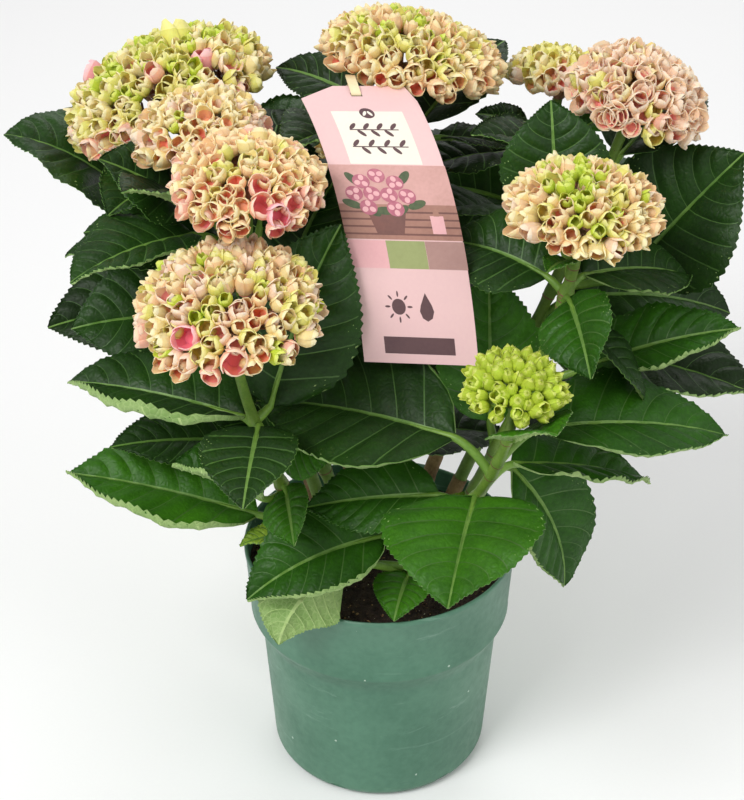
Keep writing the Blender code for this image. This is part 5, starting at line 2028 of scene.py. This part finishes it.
@dataclass
class Label:
    """The bent plant label with its plain printed design, and the paper strap it hangs on."""

    palette: Palette
    width: float = 52 * MM
    thickness: float = 0.7 * MM
    cuts: tuple[tuple[float, float], ...] = ((17.5 * MM, 9.8 * MM), (2.2 * MM, 11.5 * MM))
    top: Vector = field(default_factory=lambda: Vector((-13.5, 20, 372.5)) * MM)
    middle: Vector = field(default_factory=lambda: Vector((6.5, -22, 337)) * MM)
    foot: Vector = field(default_factory=lambda: Vector((18.5, -52, 268.5)) * MM)
    roll: tuple[float, float] = (0.0, -2.5)
    slot_half: float = 2.6 * MM
    slot_tall: float = 1.3 * MM
    slot_drop: float = 6.8 * MM
    strap_top: Vector = field(default_factory=lambda: Vector((-13, 55, 359)) * MM)
    strap_width: float = 4.5 * MM
    strap_bulge: float = 2.9 * MM

    @property
    def length(self) -> float:
        """The card's length along its bend."""
        return (self.top - self.middle).length + (self.middle - self.foot).length

    def line(self, share: float) -> Vector:
        """The card's middle line, from its top edge to its foot.

        Args:
            share: The share of the way down.

        Returns:
            The point.
        """
        rest = 1 - share
        bend = 2 * self.middle - (self.top + self.foot) / 2
        return rest**2 * self.top + 2 * rest * share * bend + share**2 * self.foot

    def frame(self, share: float) -> tuple[Vector, Vector]:
        """Across and facing directions of the card at a share of its length.

        Args:
            share: The share.

        Returns:
            The two directions.
        """
        roll = math.radians(self.roll[0] + (self.roll[1] - self.roll[0]) * share)
        down = (self.line(share + 0.01) - self.line(share - 0.01)).normalized()
        across = Vector((math.cos(roll), 0, math.sin(roll)))
        return across, down.cross(across).normalized()

    def place(self, x: float, y: float, lift: float) -> Vector:
        """A point over the card.

        Args:
            x: Metres right of its middle line.
            y: Metres below its top edge.
            lift: Metres in front of its middle.

        Returns:
            The point.
        """
        share = float(y) / self.length
        across, facing = self.frame(share)
        return self.line(share) + across * float(x) - facing * lift * self.front_sign()

    def front_sign(self) -> float:
        """Which way round the card's facing direction looks at a viewer in front."""
        _, facing = self.frame(0.5)
        return 1.0 if facing.y > 0 else -1.0

    def build(self) -> None:
        """Builds and dresses the card, its print and its strap."""
        self._card()
        self._print()
        self._strap()

    def _card(self) -> None:
        """The card, with its top corners cut off and a slot for the strap."""
        half, hole, tall = self.width / 2, self.slot_half, self.slot_tall
        (left, left_drop), (right, right_drop) = self.cuts
        xs = sorted({-half, half, left - half, half - right, -hole, hole, 0.0}
                    | set(np.round(np.linspace(-half, half, 13), 6)))
        tops = [0.0, 2.4 * MM, self.slot_drop - tall, self.slot_drop, self.slot_drop + tall]
        ys = tops + list(np.linspace(tops[-1], self.length, 44)[1:])
        store = MeshStore()
        points, faces, slots = [], [], []
        for lift in (0.5, -0.5):
            for y in ys:
                for x in xs:
                    cut = max(left - half - x, 0.0) / left * left_drop
                    cut += max(x + right - half, 0.0) / right * right_drop
                    deep = cut + y * (1 - cut / self.length)
                    points.append(self.place(x, deep, lift * self.thickness))
        cols, layer = len(xs), len(xs) * len(ys)
        solid, near = {}, 0.001 * MM
        for row in range(len(ys) - 1):
            for col in range(cols - 1):
                inside = (xs[col] > -hole - near and xs[col + 1] < hole + near
                          and ys[row] > tops[2] - near and ys[row + 1] < tops[4] + near)
                solid[row, col] = not inside
        for (row, col), full in solid.items():
            if not full:
                continue
            a, b = row * cols + col, row * cols + col + 1
            c, d = (row + 1) * cols + col + 1, (row + 1) * cols + col
            faces += [(a, d, c, b), (a + layer, b + layer, c + layer, d + layer)]
            slots += [0, 1]
            for (first, second), beside in (((a, b), (row - 1, col)), ((b, c), (row, col + 1)),
                                            ((c, d), (row + 1, col)), ((d, a), (row, col - 1))):
                if not solid.get(beside, False):
                    faces.append((first, second, second + layer, first + layer))
                    slots.append(1)
        store.add(np.array(points), faces, slots)
        card = store.to_object("label_card_print", self.palette.all((CARD, CARD_BACK)), 40)
        tidy_normals(card)
        dress(card, "label_card", "label_card")

    def _patch(self, store: MeshStore, outline: list[tuple[float, float]], slot: int, level: int) -> None:
        """Lays one printed shape on the card's front.

        Args:
            store: Where it goes.
            outline: Its corners in mm from the card's middle line and top edge, convex, in order.
            slot: Its ink.
            level: How many prints lie under it.
        """
        low = self.thickness / 2 - 0.12 * MM
        high = self.thickness / 2 + (0.03 + 0.03 * level) * MM
        ys = sorted({round(y, 3) for _, y in outline})
        cuts = sorted(set(ys) | {float(y) for y in np.arange(math.ceil(ys[0] / 3) * 3, ys[-1], 3.0)})
        rows = []
        for y in cuts:
            crossings = []
            for (x0, y0), (x1, y1) in zip(outline, outline[1:] + outline[:1]):
                if abs(y0 - y1) < 0.001:
                    if abs(y - y0) < 0.001:
                        crossings += [x0, x1]
                elif min(y0, y1) - 0.001 <= y <= max(y0, y1) + 0.001:
                    crossings.append(x0 + (x1 - x0) * (y - y0) / (y1 - y0))
            rows.append((min(crossings), max(crossings), y))
        points, faces = [], []
        for lift in (high, low):
            for left, right, y in rows:
                for x in (left, right):
                    points.append(self.place(x * MM, y * MM, lift))
        layer = 2 * len(rows)
        for row in range(len(rows) - 1):
            a, b, c, d = 2 * row, 2 * row + 1, 2 * row + 3, 2 * row + 2
            faces += [(a, d, c, b), (a + layer, b + layer, c + layer, d + layer),
                      (b, c, c + layer, b + layer), (d, a, a + layer, d + layer)]
        end = 2 * (len(rows) - 1)
        faces += [(0, 1, 1 + layer, layer), (end + 1, end, end + layer, end + 1 + layer)]
        store.add(np.array(points), faces, [slot] * len(faces))

    def _print(self) -> None:
        """The plain design: a panel with sprigs, a posy over planks, three swatches, care signs and a bar."""
        inks = (PANEL, INK, PRINT_TAUPE, PRINT_WOOD, PRINT_PINK, PRINT_LIME, PRINT_PLUM, PRINT_LEAF,
                PRINT_SHADE, PRINT_BLUSH)
        panel, ink, taupe, wood, pink, lime, plum, leafy, shade, blush = range(len(inks))
        store = MeshStore()
        lay = partial(self._patch, store)
        lay(rectangle(-15.7, 18.8, 16.6, 50), panel, 0)
        lay(ellipse(0.4, 20.0, 3.4, 3.4, 0), ink, 1)
        for side in (-1, 1):
            lay(ellipse(0.4 + side * 1.2, 20.2, 1.7, 0.7, math.radians(90 - side * 28)), panel, 2)
        for middle, reach in ((30.5, 11.0), (40.5, 12.5)):
            lay(rectangle(0.4 - reach, middle - 0.3, 0.4 + reach, middle + 0.3), ink, 1)
            for leaf in range(-3, 4):
                x = 0.4 + leaf * reach / 3.6
                slant = math.radians(-50 if leaf % 2 else 50)
                lay(ellipse(x, middle + (2.1 if leaf % 2 == 0 else -2.1), 2.4, 0.95, slant), ink, 2)
        lay(rectangle(-26.3, 50.5, 26.3, 85.8), taupe, 0)
        lay(rectangle(-26.3, 70.0, 26.3, 85.8), wood, 1)
        for line in range(4):
            lay(rectangle(-26.3, 73.2 + 3.3 * line, 26.3, 74.0 + 3.3 * line), shade, 2)
        lay([(-14.5, 72), (3.5, 72), (0.5, 83.5), (-11.5, 83.5)], shade, 3)
        for x, y, slant in ((-20, 70, 20), (9, 70, -20), (-17, 58, 50), (6, 57, -50), (-6, 73, 0),
                            (-12, 73, 30), (1, 73, -30)):
            lay(ellipse(x, y, 4.4, 1.9, math.radians(slant)), leafy, 3)
        blooms = ((-13.5, 59), (-6, 56), (1.5, 59.5), (-18, 65), (-10, 65), (-2.5, 65.5), (5.5, 66),
                  (-13, 71.5), (-1, 72))
        for number, (x, y) in enumerate(blooms):
            lay(ellipse(x, y, 3.9, 3.6, 0), pink, 4 + number % 2)
            for turn in (40, 160, 280):
                away = math.radians(turn + 50 * number)
                lay(ellipse(x + 1.9 * math.cos(away), y + 1.9 * math.sin(away), 1.4, 1.2, away), blush, 6)
        lay(rectangle(13.5, 75, 19.5, 83), blush, 3)
        lay(rectangle(15.2, 71.5, 17.8, 75.2), wood, 4)
        for left, swatch in ((-26.3, blush), (-8.8, lime), (8.8, plum)):
            lay(rectangle(left, 86.3, left + 17.5, 98.0), swatch, 0)
        lay(ellipse(-7.5, 113.2, 3.1, 3.1, 0), ink, 0)
        for ray in range(8):
            turn = math.pi / 4 * ray
            lay(ellipse(-7.5 + 5 * math.cos(turn), 113.2 + 5 * math.sin(turn), 1.2, 0.42, turn), ink, 0)
        drop = [(5, 107.6), (7.5, 112.4), (8.2, 114.8), (7.2, 117.4), (5, 118.6), (2.8, 117.4), (1.8, 114.8),
                (2.5, 112.4)]
        lay(drop, ink, 0)
        lay(rectangle(-16, 124.6, 16, 130.8), ink, 0)
        piece = store.to_object("label_design", self.palette.all(inks), 30)
        tidy_normals(piece)
        dress(piece, "label_card", "label_card")

    def strap_point(self, angle: float) -> tuple[Vector, Vector]:
        """A point of the strap's middle and the way it is wide, by the angle round its loop.

        Args:
            angle: The angle in radians.

        Returns:
            The point and the direction.
        """
        share = (1 - math.cos(angle)) / 2
        slot = self.slot_drop / self.length
        low = self.line(slot)
        bend = low + (low - self.line(slot + 0.01)).normalized() * 12 * MM
        rest = 1 - share
        point = rest**2 * low + 2 * rest * share * bend + share**2 * self.strap_top
        along = rest * (bend - low) + share * (self.strap_top - bend)
        across, _ = self.frame(slot)
        return point + across.cross(along).normalized() * self.strap_bulge * math.sin(angle), across

    def _strap(self) -> None:
        """The paper loop through the label's slot and round the flower stalk."""
        steps = 72
        section = ((-0.5, -0.5), (0.0, -0.55), (0.5, -0.5), (0.5, 0.5), (0.0, 0.55), (-0.5, 0.5))
        rings = []
        for index in range(steps):
            angle = 2 * math.pi * index / steps
            point, across = self.strap_point(angle)
            along = self.strap_point(angle + 0.01)[0] - self.strap_point(angle - 0.01)[0]
            away = across.cross(along).normalized()
            for wide, deep in section:
                rings.append(point + across * wide * self.strap_width + away * deep * 0.55 * MM)
        faces = band_faces(steps, len(section), closed=True)
        store = MeshStore()
        store.add(np.array(rings), faces, [0] * len(faces))
        strap = store.to_object("paper_strap", self.palette.all((PAPER,)), 40)
        tidy_normals(strap)
        dress(strap, "strap_paper", "label_strap")


def rectangle(left: float, top: float, right: float, foot: float) -> list[tuple[float, float]]:
    """The corners of an upright rectangle."""
    return [(left, top), (right, top), (right, foot), (left, foot)]


def ellipse(x: float, y: float, long: float, short: float, turn: float) -> list[tuple[float, float]]:
    """Points round an ellipse.

    Args:
        x: Its middle across.
        y: Its middle down.
        long: Half its length.
        short: Half its width.
        turn: Turn of its length in radians.

    Returns:
        Twenty points in order.
    """
    points = []
    for step in range(20):
        angle = 2 * math.pi * (step + 0.5) / 20
        a, b = long * math.cos(angle), short * math.sin(angle)
        right = x + a * math.cos(turn) - b * math.sin(turn)
        points.append((right, y + a * math.sin(turn) + b * math.cos(turn)))
    return points


def tidy_normals(obj: bpy.types.Object) -> None:
    """Turns every face of a closed mesh outwards.

    Args:
        obj: The mesh's object.
    """
    bm = bmesh.new()
    bm.from_mesh(obj.data)
    bmesh.ops.recalc_face_normals(bm, faces=bm.faces)
    bm.to_mesh(obj.data)
    bm.free()


# --------------------------------------------------------------------------------------------------- studio


@dataclass(frozen=True)
class Studio:
    """The plain floor, soft lights and camera."""

    target: tuple[float, float, float] = (-0.004, 0.0, 0.2146)
    distance: float = 0.95
    elevation: float = 33.3
    lens: float = 86.85
    floor: Colour = (0.90, 0.90, 0.90, 1.0)

    def build(self) -> None:
        """Sets up floor, light and camera."""
        self._floor()
        self._world()
        self._area("key", (-0.9, -1.1, 1.7), 0.9, 30.0)
        self._area("fill", (1.3, -0.9, 1.1), 1.2, 8.0)
        self._area("back", (0.2, 1.4, 1.5), 1.2, 10.0)
        self._camera()
        bpy.context.scene.view_settings.view_transform = "Standard"

    def _floor(self) -> None:
        """A wide pale floor under the pot."""
        mesh = bpy.data.meshes.new("floor")
        size = 6.0
        corners = [(-size, -size, 0), (size, -size, 0), (size, size, 0), (-size, size, 0)]
        mesh.from_pydata(corners, [], [(0, 1, 2, 3)])
        finish = Finish("floor_white", self.floor, (0.88, 0.88, 0.88, 1.0), 0.9, patch=1.0, specular=0.1)
        floor = link(bpy.data.objects.new("floor", mesh))
        mesh.materials.append(finish.make(Effects()))

    @staticmethod
    def _world() -> None:
        """An even pale surround."""
        world = bpy.data.worlds.new("surround")
        world.use_nodes = True
        back = world.node_tree.nodes["Background"]
        back.inputs["Color"].default_value = (1.0, 1.0, 1.0, 1.0)
        back.inputs["Strength"].default_value = 0.5
        bpy.context.scene.world = world

    def _area(self, name: str, place: tuple, size: float, power: float) -> None:
        """Adds one square soft light that looks at the plant.

        Args:
            name: Its name.
            place: Where it hangs.
            size: Its side in metres.
            power: Its watts.
        """
        light = bpy.data.lights.new(name, "AREA")
        light.size = size
        light.energy = power
        lamp = link(bpy.data.objects.new(name, light))
        lamp.location = place
        way = Vector(self.target) - Vector(place)
        lamp.rotation_euler = way.to_track_quat("-Z", "Y").to_euler()

    def _camera(self) -> None:
        """Looks down on the plant from the front."""
        lens = bpy.data.cameras.new("camera")
        lens.lens = self.lens
        lens.sensor_width = 36
        camera = link(bpy.data.objects.new("camera", lens))
        angle = math.radians(self.elevation)
        away = Vector((0, -math.cos(angle), math.sin(angle)))
        camera.location = Vector(self.target) + away * self.distance
        camera.rotation_euler = (-away).to_track_quat("-Z", "Y").to_euler()
        bpy.context.scene.camera = camera


def main() -> None:
    """Builds every class in order."""
    logging.basicConfig(level=logging.INFO, format="%(name)s %(message)s")
    palette = Palette()
    Studio().build()
    Pot(palette).build()
    Soil(palette).build()
    Label(palette).build()
    Canes(palette).build()
    Foliage(palette).build(Crown().grow())
    FlowerHeads(palette).build()


if __name__ == "__main__":
    main()
